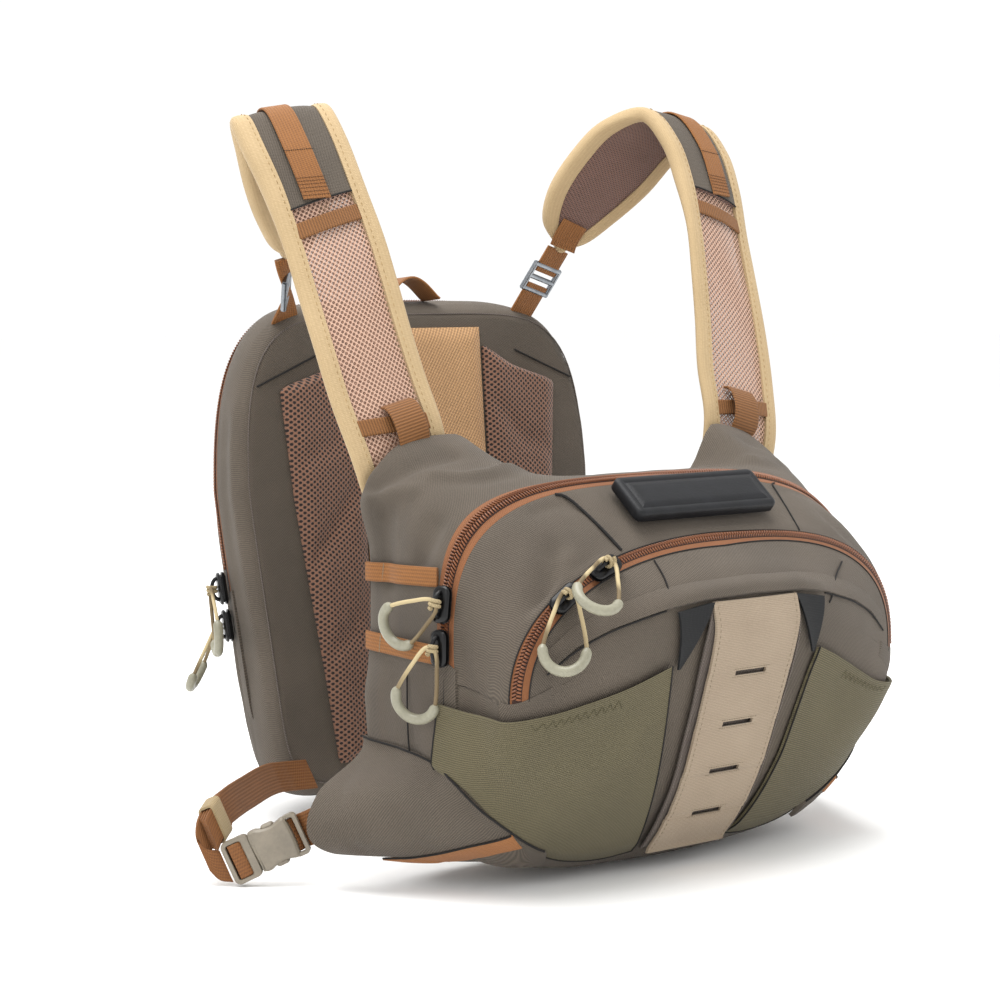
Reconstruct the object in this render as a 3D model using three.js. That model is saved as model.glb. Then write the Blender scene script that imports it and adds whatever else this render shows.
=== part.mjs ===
import * as THREE from 'three';
import { mergeVertices } from 'three/addons/utils/BufferGeometryUtils.js';

// Fishing chest pack: a domed front pack and a small backpack on one harness, shaped as when worn.
// Millimetres, +Z up. The wearer faces -Y, and left (+X) and right (-X) are the wearer's own.
// The origin lies midway between the shoulder straps, level with the undersides of their crests.

// Driving dimensions
const GAP = 0.3; // clear distance between pieces that touch
const WALL = 2; // lined and padded cloth of both packs
const AROUND = 36; // points round a pack's cross-section
const WEBBING = { width: 20, thick: 1.6 };
const ZIP = { width: 15.4, chain: 3.5, rise: 1.6, shoulder: 0.4 }; // chain is half the coil's width
const CHEST = { back: -93, base: -438, mainZip: 68, pocketZip: 113, nose: 142, middle: 120, noseHeight: 152 };
const POCKET_ZIP_WIDTH = 11.4;
const EAR = { rise: 31, fromLeft: 84, fromRight: 56, full: 108, run: 60, fall: 1.3 };
const BACKPACK = { face: 48, base: -430, lean: 5, zip: 36, back: 86, capHeight: 160 };
const TAPER = { share: 0.15, below: 200 }; // how far the backpack draws in toward its base

// Cross-sections of the chest pack, from its back panel forward to its nose. Heights are from the
// pack's base. Crowns, for the right and the left, and keel say how square the corners are.
const CHEST_SECTIONS = [
  { depth: 0, half: 165, mid: 116, top: 219, base: 8, crown: 10, crownLeft: 6, keel: 4 },
  { depth: 24, half: 168, mid: 117, top: 222, base: 2, crown: 7, crownLeft: 5, keel: 3.6 },
  { depth: 68, half: 166, mid: 118, top: 223, base: -3, crown: 4, crownLeft: 2.9, keel: 3.4 },
  { depth: 92, half: 160, mid: 112, top: 206, base: 18, crown: 2.8, crownLeft: 3.2, keel: 2.8 },
  { depth: 113, half: 151, mid: 108, top: 189, base: 54, crown: 2.2, crownLeft: 2.8, keel: 2.3 },
  { depth: 124, half: 125, mid: 120, top: 181, base: 84, crown: 2.1, crownLeft: 2.3, keel: 2.1 },
  { depth: 134, half: 90, mid: 136, top: 173, base: 114, crown: 2, crownLeft: 2, keel: 2 },
  { depth: 140, half: 55, mid: 147, top: 165, base: 134, crown: 2, crownLeft: 2, keel: 2 },
  { depth: 142, half: 26, mid: 151, top: 159, base: 144, crown: 2, crownLeft: 2, keel: 2 },
];

// Cross-sections of the backpack, from the face on the wearer's back to its outer end.
const BACKPACK_SECTIONS = [
  { depth: 0, half: 142, mid: 110, top: 310, base: 8, crown: 5.4, crownLeft: 5.4, keel: 8 },
  { depth: 10, half: 147, mid: 110, top: 317, base: 2, crown: 5, crownLeft: 5, keel: 8 },
  { depth: 36, half: 143, mid: 110, top: 319, base: 0, crown: 4.3, crownLeft: 4.3, keel: 8 },
  { depth: 50, half: 133, mid: 112, top: 309, base: 4, crown: 3.8, crownLeft: 3.8, keel: 6 },
  { depth: 66, half: 119, mid: 120, top: 294, base: 14, crown: 3.4, crownLeft: 3.4, keel: 4.6 },
  { depth: 78, half: 103, mid: 132, top: 275, base: 34, crown: 3, crownLeft: 3, keel: 3.6 },
  { depth: 86, half: 84, mid: 145, top: 250, base: 60, crown: 2.6, crownLeft: 2.6, keel: 2.8 },
];

// Shoulder pad edges on the wearer's left, from the chest pack's ear over the shoulder to the tip.
const PAD = { thick: 9, binding: 12, least: 0.3, coreEnd: 11.6, coreGap: 0.06, tip: [12.1, 12.6, 13] };
const STRAP_WEBBING = { from: 5.75, to: 10.4, steps: 10 };
const PAD_STATIONS = [
  { inner: [104, -87.5, -212], outer: [164, -87.5, -230] },
  { inner: [108, -86, -185], outer: [173, -85, -202] },
  { inner: [112.5, -75, -155], outer: [180, -75, -170] },
  { inner: [118, -67, -125], outer: [184.5, -64, -137] },
  { inner: [122.5, -59, -95], outer: [188, -52, -105] },
  { inner: [127, -50, -65], outer: [191, -40, -74] },
  { inner: [131, -36, -35], outer: [195.5, -26, -41] },
  { inner: [132, -21, -8], outer: [198, -12, -16] },
  { inner: [127, -2, 11], outer: [194, 3, 0] },
  { inner: [110, 16, 4], outer: [179, 15, -16] },
  { inner: [96.5, 31, -16], outer: [162, 27, -40] },
  { inner: [89, 45, -40], outer: [143, 40, -60] },
  { inner: [92, 54, -61], outer: [126, 50, -74] },
  { inner: [105, 58, -74], outer: [114, 56, -77] },
];
const SAG = { low: -170, high: -30, drop: 9, inward: 4 }; // how the right strap lies lower toward its crest
const TUCK = { from: -34, to: 40, inward: -9 }; // and how its rear part stands further out

// Lower side wing: its seam on the pack, the crease it swells to and its hem, from back to front.
const WING = { thick: 3, lift: 2.2, steps: 9, points: 5 };
const WING_STATIONS = [
  { seam: [169, 1, 78], crease: [204, 7, 34], hem: [187, 3, 12] },
  { seam: [172, -26, 74], crease: [191, -24, 38], hem: [170, -22, 13] },
  { seam: [171, -50, 71], crease: [176, -50, 38], hem: [150, -44, 12] },
  { seam: [166, -71, 64], crease: [156, -70, 34], hem: [130, -58, 11] },
  { seam: [140, -84, 42], crease: [130, -81, 25], hem: [112, -69, 10] },
  { seam: [105, -84, 18], crease: [102, -81, 14], hem: [98, -76, 10] },
];

// Elastic side pocket: its top hem and its foot, from the side seam in to the middle strip.
const STRETCH = { lift: 2.3, thick: 1.6, steps: 9, points: 5 };
const POCKET_STATIONS = [
  { hem: [170, -70, 106], foot: [168, -70, 73] },
  { hem: [162, -90, 103], foot: [152, -84, 53] },
  { hem: [137, -106, 100], foot: [128, -89, 32] },
  { hem: [109, -120, 103], foot: [104, -88, 16] },
  { hem: [77, -130, 114], foot: [76, -84, 5] },
  { hem: [51, -134, 121], foot: [49, -80, 3] },
];

const STRIP = { halfTop: 34, halfFoot: 31, top: 158, shoulder: 140, foot: 4, lift: 4.8, thick: 1.8 };
const SLOT = { half: 12, tall: 3.2, heights: [115, 84, 55, 28] };
const FLAP = { lift: 2, thick: 1.5 };
const FLAP_ROWS = [
  { height: 157, half: 33 },
  { height: 146, half: 38 },
  { height: 134, half: 43 },
  { height: 121, half: 48.5 },
  { height: 100, half: 47 },
  { height: 75, half: 45.5 },
  { height: 50, half: 44 },
  { height: 28, half: 43 },
  { height: 8, half: 42 },
];
const GUSSET = { lift: 2.6, thick: 1.5, corners: [[37, 157], [57, 154], [51, 124]] };
const FOAM = { width: 112, run: 31, rise: 8, corner: 3, bevel: 1.5, depth: 94.5, height: 214, tilt: 40 };

const SLOT_EASE = 1; // room for webbing in a buckle's slot
const SLOT_CORNER = 1.2;
const TAB = { tip: [109.3, 58.2, -78.4], anchor: [93, 83.5, -127.5], start: 0.01, lock: 0.42, end: 0.77 };
const LOCK = { wide: 27, long: 22, thick: 4, bar: 3.5, corner: 3 };
const BUCKLE = { wide: 26, thick: 9, plug: 17, plugThick: 7, socket: 30, corner: 3, bevel: 1, slot: 4 };
const BUCKLE_SLOT = { plug: -2.5, socket: 9.5 }; // where the webbing turns, from each half's middle
const WING_STRAP = 8;
const GRIP = { bend: 12, tube: 6, sweep: 200, reach: 29, sides: 8, steps: 7 };
const CORD = { diameter: 2.4, sides: 8, steps: 14 };
const SLIDER = { long: 21, wide: 11, tall: 5, bevel: 1 };
const EYE = { rise: 5, ahead: 3 }; // where a cord turns, above its slider and toward its grip

// Route of a pull cord in its own plane: u runs from the slider's eye to the grip, v across it.
const CORD_ROUTE = [
  [26.6, 11.75], [24, 11.3], [20.5, 10.6], [16.5, 9.6], [12.5, 8.5], [8.5, 7.3], [4.5, 6.2],
  [0.8, 5], [-2.6, 3.3], [-4.2, 0], [-2.6, -3.3], [0.8, -5],
  [4.5, -6.2], [8.5, -7.3], [12.5, -8.5], [16.5, -9.6], [20.5, -10.6], [24, -11.3], [26.6, -11.75],
];

// Zip pulls: how high each slider stands on its zip, which way its pull hangs and which way it faces.
const PULLS = [
  { name: 'main_upper', zip: 'main', height: 160, hang: [-0.05, 0.89, -0.45], face: [-0.85, -0.53, 0] },
  { name: 'main_lower', zip: 'main', height: 136, hang: [0, 0.42, -0.91], face: [-0.85, -0.53, 0] },
  { name: 'pocket_upper', zip: 'pocket', height: 176, hang: [-0.72, -0.5, -0.5], face: [-0.5, -0.8, 0.35] },
  { name: 'pocket_lower', zip: 'pocket', height: 162, hang: [-0.27, -0.2, -0.94], face: [-0.6, -0.75, 0.3] },
  { name: 'pack_upper', zip: 'pack', height: 139, hang: [-0.25, -0.5, -0.83], face: [-0.9, 0.44, 0] },
  { name: 'pack_lower', zip: 'pack', height: 115, hang: [-0.15, 0.5, -0.85], face: [-0.64, 0.77, 0] },
];

const SIDE_STRAP_ACROSS = [-0.26, -0.32, -0.91];
const SIDE_STRAP = [
  [122, 52, -411], [150, 34, -408], [182, 9, -407], [212, -15, -407], [235, -31, -411],
  [245.5, -38, -419], [247.5, -41, -427], [243.5, -44.5, -433], [236.8, -48.2, -434.4],
];
const BUCKLE_AT = [219, -62, -424];
const BUCKLE_ALONG = [-0.718, -0.554, 0.418];

const twill = finish('#70685f', 0.85);
const khaki = finish('#a89a80', 0.85);
const olive = finish('#6f6e4e', 0.8);
const rust = finish('#8f5a32', 0.8);
const cream = finish('#cdb486', 0.85);
const mesh = finish('#8a6452', 0.9);
const lining = finish('#9a7f6c', 0.9);
const navy = finish('#23252d', 0.8);
const foam = finish('#202124', 0.6);
const black = finish('#141416', 0.35);
const silver = finish('#b9babb', 0.35, 0.9);
const nylon = finish('#9d9683', 0.45);
const grey = finish('#a3a591', 0.5);

function finish(color, roughness, metalness = 0) {
  return new THREE.MeshStandardMaterial({ color, roughness, metalness });
}

const vector = (xyz) => new THREE.Vector3(...xyz);
const mirrored = (point, sign) => new THREE.Vector3(point.x * sign, point.y, point.z);
function spread(from, to, count) {
  return Array.from({ length: count + 1 }, (_, i) => from + ((to - from) * i) / count);
}

// Smooth curves through the columns of a table, looked up by one of them.
function smoothTable(rows, key) {
  const columns = Object.keys(rows[0]).filter((name) => name !== key);
  const values = rows.flatMap((row) => columns.map((name) => row[name]));
  const curve = new THREE.CubicInterpolant(rows.map((row) => row[key]), values, columns.length);
  return (at) => {
    const found = curve.evaluate(at);
    return Object.fromEntries(columns.map((name, i) => [name, found[i]]));
  };
}

// Closed geometry from a list of triangle corners, with its faces turned outward.
function closedGeometry(triangles) {
  const size = ([a, b, c]) => a.distanceTo(b) * b.distanceTo(c) * c.distanceTo(a);
  const solid = triangles.filter((triangle) => size(triangle) > 1e-9);
  const volume = solid.reduce((sum, [a, b, c]) => sum + a.dot(b.clone().cross(c)), 0);
  const corners = solid.flatMap(([a, b, c]) => (volume > 0 ? [a, b, c] : [a, c, b]));
  const geometry = new THREE.BufferGeometry().setFromPoints(corners);
  return mergeVertices(geometry);
}

// Closed solid between two like grids of points, a face and its lining. Cells that keep() turns
// down are left out, and each open edge gets a wall.
function layeredSolid(face, back, { ring = false, keep = () => true } = {}) {
  const rows = face.length - 1;
  const points = face[0].length;
  const columns = ring ? points : points - 1;
  const triangles = [];
  const quad = (a, b, c, d) => triangles.push([a, b, c], [a, c, d]);
  const filled = (i, j) => {
    if (i < 0 || i >= rows) return false;
    if (!ring && (j < 0 || j >= columns)) return false;
    return keep(i, (j + columns) % columns);
  };
  for (let i = 0; i < rows; i += 1) {
    for (let j = 0; j < columns; j += 1) {
      if (!filled(i, j)) continue;
      const n = (j + 1) % points;
      quad(face[i][j], face[i + 1][j], face[i + 1][n], face[i][n]);
      quad(back[i][j], back[i][n], back[i + 1][n], back[i + 1][j]);
      if (!filled(i - 1, j)) quad(face[i][j], face[i][n], back[i][n], back[i][j]);
      if (!filled(i + 1, j)) quad(face[i + 1][n], face[i + 1][j], back[i + 1][j], back[i + 1][n]);
      if (!filled(i, j - 1)) quad(face[i + 1][j], face[i][j], back[i][j], back[i + 1][j]);
      if (!filled(i, j + 1)) quad(face[i][n], face[i + 1][n], back[i + 1][n], back[i][n]);
    }
  }
  return closedGeometry(triangles);
}

// Flat webbing along a list of points, with its width laid along a given direction.
function ribbon(path, across, { width, thick }) {
  const faces = [];
  const backs = [];
  path.forEach((point, i) => {
    const next = path[Math.min(i + 1, path.length - 1)];
    const ahead = next.clone().sub(path[Math.max(i - 1, 0)]).normalize();
    const side = across.clone().setLength(width / 2);
    const up = side.clone().cross(ahead).setLength(thick / 2);
    faces.push([point.clone().sub(side).add(up), point.clone().add(side).add(up)]);
    backs.push([point.clone().sub(side).sub(up), point.clone().add(side).sub(up)]);
  });
  return layeredSolid(faces, backs);
}

function tube(curve, diameter, sides, steps) {
  const round = new THREE.EllipseCurve(0, 0, diameter / 2, diameter / 2);
  const section = new THREE.Shape(round.getPoints(sides).slice(1));
  return new THREE.ExtrudeGeometry(section, { steps, extrudePath: curve, bevelEnabled: false });
}

// Flat outline with rounded corners, its middle at x.
function roundedRectangle(long, wide, corner, x = 0, Kind = THREE.Shape) {
  const [left, right, y] = [x - long / 2, x + long / 2, wide / 2];
  const outline = new Kind();
  outline.moveTo(left + corner, -y);
  outline.lineTo(right - corner, -y);
  outline.quadraticCurveTo(right, -y, right, -y + corner);
  outline.lineTo(right, y - corner);
  outline.quadraticCurveTo(right, y, right - corner, y);
  outline.lineTo(left + corner, y);
  outline.quadraticCurveTo(left, y, left, y - corner);
  outline.lineTo(left, -y + corner);
  outline.quadraticCurveTo(left, -y, left + corner, -y);
  return outline;
}

// Cuts a slot for webbing through a flat outline.
function cutSlot(outline, x, long) {
  outline.holes.push(roundedRectangle(long, WEBBING.width + SLOT_EASE, SLOT_CORNER, x, THREE.Path));
}

function slab(outline, thick, bevel = 0) {
  const geometry = new THREE.ExtrudeGeometry(outline, {
    depth: thick - 2 * bevel,
    bevelEnabled: bevel > 0,
    bevelThickness: bevel,
    bevelSize: bevel,
    bevelOffset: -bevel,
    bevelSegments: 1,
    curveSegments: 2,
  });
  return geometry.translate(0, 0, bevel - thick / 2);
}

// Turns and moves a mesh so that its x and y axes follow two given directions.
function place(part, at, along, across) {
  const x = along.clone().normalize();
  const z = x.clone().cross(across).normalize();
  const y = z.clone().cross(x);
  part.quaternion.setFromRotationMatrix(new THREE.Matrix4().makeBasis(x, y, z));
  part.position.copy(at);
  return part;
}

function add(group, name, geometry, material) {
  const part = new THREE.Mesh(geometry, material);
  part.name = name;
  group.add(part);
  return part;
}

const isUpper = (angle) => Math.sin(angle) > -1e-9;

// Skin of a pack: points on it by angle and depth, and whether a point lies inside it.
function bag(rows, facing, { ear = () => 0, taper = { share: 0, below: 1 } } = {}) {
  const section = smoothTable(rows, 'depth');
  const width = (s, z) => s.half * (1 - taper.share * Math.max(0, 1 - z / taper.below));
  const corner = (s, x, upper) => {
    if (!upper) return s.keel;
    return x > 0 ? s.crownLeft : s.crown;
  };
  const point = (angle, depth, inset = 0) => {
    const s = section(depth);
    const upper = isUpper(angle);
    const [cos, sin] = [Math.cos(angle), Math.sin(angle)];
    const roundness = 2 / corner(s, cos, upper);
    const rise = Math.abs(sin) ** roundness;
    const z = upper ? s.mid + (s.top - s.mid - inset) * rise : s.mid - (s.mid - s.base - inset) * rise;
    const x = Math.sign(cos) * (width(s, z) - inset) * Math.abs(cos) ** roundness;
    return new THREE.Vector3(x, facing * depth, upper ? z + ear(x, depth) * rise : z);
  };
  const inside = (at) => {
    const depth = facing * at.y;
    if (depth < 0 || depth > rows.at(-1).depth) return false;
    const s = section(depth);
    const upper = at.z > s.mid;
    const power = corner(s, at.x, upper);
    const reach = upper ? s.top - s.mid : s.mid - s.base;
    return (Math.abs(at.x) / width(s, at.z)) ** power + (Math.abs(at.z - s.mid) / reach) ** power < 1;
  };
  // Angle at which the right side of the skin reaches a height.
  const angleAt = (height, depth) => {
    const s = section(depth);
    return Math.PI - Math.asin(((height - s.mid) / (s.top - s.mid)) ** (s.crown / 2));
  };
  return { point, inside, angleAt };
}

const ANGLES = spread(0, 2 * Math.PI, AROUND).slice(0, AROUND);
const OVER_TOP = spread(0, Math.PI, AROUND / 2);

// Hollow half of a pack: its wall from the open mouth to an end section, then the end drawn in.
function bowl(skin, mouth, end, { steps, shares, capHeight }) {
  const grid = (inset, last) => {
    const wall = steps.map((step) =>
      ANGLES.map((angle) => skin.point(angle, THREE.MathUtils.lerp(mouth(angle), last, step), inset)),
    );
    const rim = wall.at(-1);
    const middle = new THREE.Vector3(0, rim[0].y, capHeight);
    return [...wall, ...shares.map((share) => rim.map((point) => point.clone().lerp(middle, share)))];
  };
  const inward = Math.sign(mouth(Math.PI / 2) - end) * WALL;
  return layeredSolid(grid(0, end), grid(WALL, end + inward), { ring: true });
}

// Zip over the top of a pack: flat tape with the coil standing up along its middle.
function zipBand(skin, depth, width) {
  const profile = [
    [-width / 2, 0], [-ZIP.chain, ZIP.shoulder], [0, ZIP.rise], [ZIP.chain, ZIP.shoulder], [width / 2, 0],
  ];
  const face = OVER_TOP.map((angle) => profile.map(([off, lift]) => skin.point(angle, depth + off, -lift)));
  const back = OVER_TOP.map((angle) => profile.map(([off]) => skin.point(angle, depth + off, WALL)));
  return layeredSolid(face, back);
}

// The chest pack
const chest = new THREE.Group();
chest.position.set(0, CHEST.back, CHEST.base);

function earLift(x, depth) {
  const from = x > 0 ? EAR.fromLeft : EAR.fromRight;
  const fade = Math.max(0, 1 - depth / EAR.run) ** EAR.fall;
  return EAR.rise * THREE.MathUtils.smoothstep(Math.abs(x), from, EAR.full) * fade;
}

const chestSkin = bag(CHEST_SECTIONS, -1, { ear: earLift });
const zipRear = CHEST.mainZip - ZIP.width / 2 - GAP;
const zipFront = CHEST.mainZip + ZIP.width / 2 + GAP;
const pocketRear = CHEST.pocketZip - POCKET_ZIP_WIDTH / 2 - GAP;
const pocketFront = CHEST.pocketZip + POCKET_ZIP_WIDTH / 2 + GAP;

add(chest, 'chest_rear_shell', bowl(chestSkin, () => zipRear, 0, {
  steps: [0, 0.25, 0.5, 0.75, 1], shares: [0.5, 1], capHeight: CHEST.middle,
}), twill);
const frontMouth = (angle) => (isUpper(angle) ? zipFront : zipRear + GAP);
add(chest, 'chest_front_shell', bowl(chestSkin, frontMouth, pocketRear, {
  steps: [0, 0.4, 0.75, 1], shares: [0.5, 1], capHeight: CHEST.middle,
}), twill);
const pocketMouth = (angle) => (isUpper(angle) ? pocketFront : pocketRear + GAP);
add(chest, 'pocket_shell', bowl(chestSkin, pocketMouth, CHEST.nose, {
  steps: [0, 0.3, 0.55, 0.78, 0.92, 1], shares: [1], capHeight: CHEST.noseHeight,
}), twill);
add(chest, 'chest_zip', zipBand(chestSkin, CHEST.mainZip, ZIP.width), rust);
add(chest, 'pocket_zip', zipBand(chestSkin, CHEST.pocketZip, POCKET_ZIP_WIDTH), rust);

// Distance at which points leave the chest pack's skin, found by halving.
function reachOfSkin(pointAt, from, to) {
  let [near, far] = [from, to];
  while (far - near > 1e-6) {
    const middle = (near + far) / 2;
    if (chestSkin.inside(pointAt(middle))) near = middle;
    else far = middle;
  }
  return near;
}

// Lays a point on the chest pack's skin, outward from the pack's middle, and lifts it off.
const HEART = new THREE.Vector3(0, -62, 106);
function onChest(target, lift) {
  const ray = target.clone().sub(HEART).normalize();
  const onRay = (distance) => HEART.clone().addScaledVector(ray, distance);
  return onRay(reachOfSkin(onRay, 0, 2 * CHEST_SECTIONS[0].half) + lift);
}

// Front of the pack at a given width and height.
function frontOf(x, z) {
  return reachOfSkin((depth) => new THREE.Vector3(x, -depth, z), CHEST.mainZip, CHEST.nose);
}

// Flat cloth that lies down the middle of the front, with its half width at each height.
function frontStrip({ lift, thick }, rows, shares, keep) {
  const layer = (off) => rows.map(({ height, half }) =>
    shares(half).map((x) => new THREE.Vector3(x, -frontOf(x, height) - off, height)));
  return layeredSolid(layer(lift + thick), layer(lift), { keep });
}

const slotEdges = SLOT.heights.flatMap((z) => [z + SLOT.tall / 2, z - SLOT.tall / 2]);
const stripRows = [STRIP.top, STRIP.shoulder, ...slotEdges, STRIP.foot].map((height) => ({
  height, half: THREE.MathUtils.mapLinear(height, STRIP.top, STRIP.foot, STRIP.halfTop, STRIP.halfFoot),
}));
const isSlotRow = (i) => SLOT.heights.some((z) => stripRows[i].height === z + SLOT.tall / 2);
add(chest, 'slot_strip', frontStrip(STRIP, stripRows, (half) => [-half, -SLOT.half, SLOT.half, half],
  (i, j) => j !== 1 || !isSlotRow(i)), khaki);
add(chest, 'strip_flap', frontStrip(FLAP, FLAP_ROWS, (half) => [-half, 0, half]), twill);

for (const [side, sign] of [['left', 1], ['right', -1]]) {
  const gusset = (off) => {
    const [a, b, c] = GUSSET.corners.map(([x, z]) =>
      new THREE.Vector3(sign * x, -frontOf(sign * x, z) - off, z));
    return [[a, b], [c, c]];
  };
  const gussetSolid = layeredSolid(gusset(GUSSET.lift + GUSSET.thick), gusset(GUSSET.lift));
  add(chest, `strip_gusset_${side}`, gussetSolid, navy);

  const hem = new THREE.CatmullRomCurve3(POCKET_STATIONS.map((row) => vector(row.hem)));
  const foot = new THREE.CatmullRomCurve3(POCKET_STATIONS.map((row) => vector(row.foot)));
  const pocket = (lift) => spread(0, 1, STRETCH.steps).map((t) =>
    spread(0, 1, STRETCH.points).map((share) => {
      const target = mirrored(hem.getPoint(t).lerp(foot.getPoint(t), share), sign);
      return onChest(target, lift);
    }));
  const pocketSolid = layeredSolid(pocket(STRETCH.lift + STRETCH.thick), pocket(STRETCH.lift));
  add(chest, `stretch_pocket_${side}`, pocketSolid, olive);

  const wingCurves = ['seam', 'crease', 'hem'].map((edge) =>
    new THREE.CatmullRomCurve3(WING_STATIONS.map((row) => vector(row[edge]))));
  const wing = (off) => spread(0, 1, WING.steps).map((t) => {
    const section = new THREE.QuadraticBezierCurve3();
    const [seam, crease, low] = wingCurves.map((curve) => curve.getPoint(t));
    section.v0.copy(seam);
    section.v1.copy(crease).multiplyScalar(2).addScaledVector(seam.clone().add(low), -0.5);
    section.v2.copy(low);
    return section.getPoints(WING.points).map((corner) => {
      const point = mirrored(corner, sign);
      const rest = onChest(point, WING.lift);
      const out = Math.max(rest.distanceTo(HEART), point.distanceTo(HEART)) + off;
      return point.sub(HEART).setLength(out).add(HEART);
    });
  });
  add(chest, `wing_${side}`, layeredSolid(wing(WING.thick), wing(0)), twill);
}

const patch = slab(roundedRectangle(FOAM.width, FOAM.run, FOAM.corner), FOAM.rise, FOAM.bevel);
const foamSlope = THREE.MathUtils.degToRad(FOAM.tilt);
place(add(chest, 'foam_patch', patch, foam), new THREE.Vector3(0, -FOAM.depth, FOAM.height),
  new THREE.Vector3(1, 0, 0), new THREE.Vector3(0, Math.cos(foamSlope), Math.sin(foamSlope)));

// The backpack
const backpack = new THREE.Group();
backpack.position.set(0, BACKPACK.face, BACKPACK.base);
backpack.rotation.x = -THREE.MathUtils.degToRad(BACKPACK.lean);

const packSkin = bag(BACKPACK_SECTIONS, 1, { taper: TAPER });
const packFront = BACKPACK.zip - ZIP.width / 2 - GAP;
const packRear = BACKPACK.zip + ZIP.width / 2 + GAP;
const packMouth = (angle) => (isUpper(angle) ? packRear : packFront + GAP);
add(backpack, 'pack_face_shell', bowl(packSkin, () => packFront, 0, {
  steps: [0, 0.4, 0.7, 1], shares: [0.5, 1], capHeight: BACKPACK.capHeight,
}), twill);
add(backpack, 'pack_rear_shell', bowl(packSkin, packMouth, BACKPACK.back, {
  steps: [0, 0.3, 0.6, 0.8, 1], shares: [0.5, 1], capHeight: BACKPACK.capHeight,
}), twill);
add(backpack, 'pack_zip', zipBand(packSkin, BACKPACK.zip, ZIP.width), rust);

// Padding on the face: outlines in the face's own plane, x across and y up.
const PADDING = { mesh: 8, column: 4, bevel: 2 };
const meshOutline = [[53, 22], [75, 24], [87, 83], [97, 130], [108, 190], [117, 240], [98, 268], [53, 288]];
const columnOutline = [[-50, 24], [50, 24], [50, 300], [-50, 300]];
function facePad(name, outline, thick, material) {
  const shape = new THREE.Shape(outline.map(([x, y]) => new THREE.Vector2(x, y)));
  const pad = add(backpack, name, slab(shape, thick, PADDING.bevel), material);
  const at = new THREE.Vector3(0, -thick / 2 - GAP, 0);
  place(pad, at, new THREE.Vector3(1, 0, 0), new THREE.Vector3(0, 0, 1));
}
facePad('mesh_pad_left', meshOutline, PADDING.mesh, mesh);
facePad('mesh_pad_right', meshOutline.map(([x, y]) => [-x, y]), PADDING.mesh, mesh);
facePad('mesh_column', columnOutline, PADDING.column, cream);

const HAUL = { depth: 12, half: 22, lift: 1.2, rise: 14 };
const haulFoot = packSkin.point(Math.PI / 2, HAUL.depth).z + HAUL.lift + WEBBING.thick / 2;
const haulPath = spread(0, Math.PI, 8).map((a) => new THREE.Vector3(
  -HAUL.half * Math.cos(a), HAUL.depth, haulFoot + HAUL.rise * Math.sin(a)));
add(backpack, 'haul_loop', ribbon(haulPath, new THREE.Vector3(0, 1, 0), WEBBING), rust);

// The shoulder straps and side straps, built on the left and mirrored to the right
const harness = new THREE.Group();
const padEdges = ['inner', 'outer'].map((edge) =>
  new THREE.CatmullRomCurve3(PAD_STATIONS.map((row) => vector(row[edge])), false, 'centripetal'));
const lastStation = PAD_STATIONS.length - 1;

// Pad surface at a station: its middle line, the vector to its outer edge and its outward normal.
function padFrame(station) {
  const t = station / lastStation;
  const [inner, outer] = padEdges.map((edge) => edge.getPoint(t));
  const ahead = padEdges[0].getTangent(t).add(padEdges[1].getTangent(t));
  const middle = inner.clone().add(outer).multiplyScalar(0.5);
  const half = outer.clone().sub(middle);
  return { middle, half, up: half.clone().cross(ahead).normalize() };
}

// Puts a point of the left strap on either side. The right strap lies a little lower, as it is worn.
function onSide(point, sign) {
  if (sign > 0) return point.clone();
  const sag = THREE.MathUtils.smoothstep(point.z, SAG.low, SAG.high);
  const inward = SAG.inward * sag + TUCK.inward * THREE.MathUtils.smoothstep(point.y, TUCK.from, TUCK.to);
  return new THREE.Vector3(inward - point.x, point.y, point.z - SAG.drop * sag);
}

// Layer of the strap between two heights off its middle, at distances across from its middle line.
function padLayer(stations, across, low, high, sign, keep) {
  const layer = (off) => stations.map((station) => {
    const { middle, half, up } = padFrame(station);
    const toward = half.clone().normalize();
    return across(half.length()).map((share) =>
      onSide(middle.clone().addScaledVector(toward, share).addScaledVector(up, off), sign));
  });
  return layeredSolid(layer(high), layer(low), { keep });
}

const coreStations = spread(0, PAD.coreEnd, 20);
const bindingStations = [...coreStations, ...PAD.tip];
const coreHalf = (half) => Math.max(half - PAD.binding, half * PAD.least);

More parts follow.
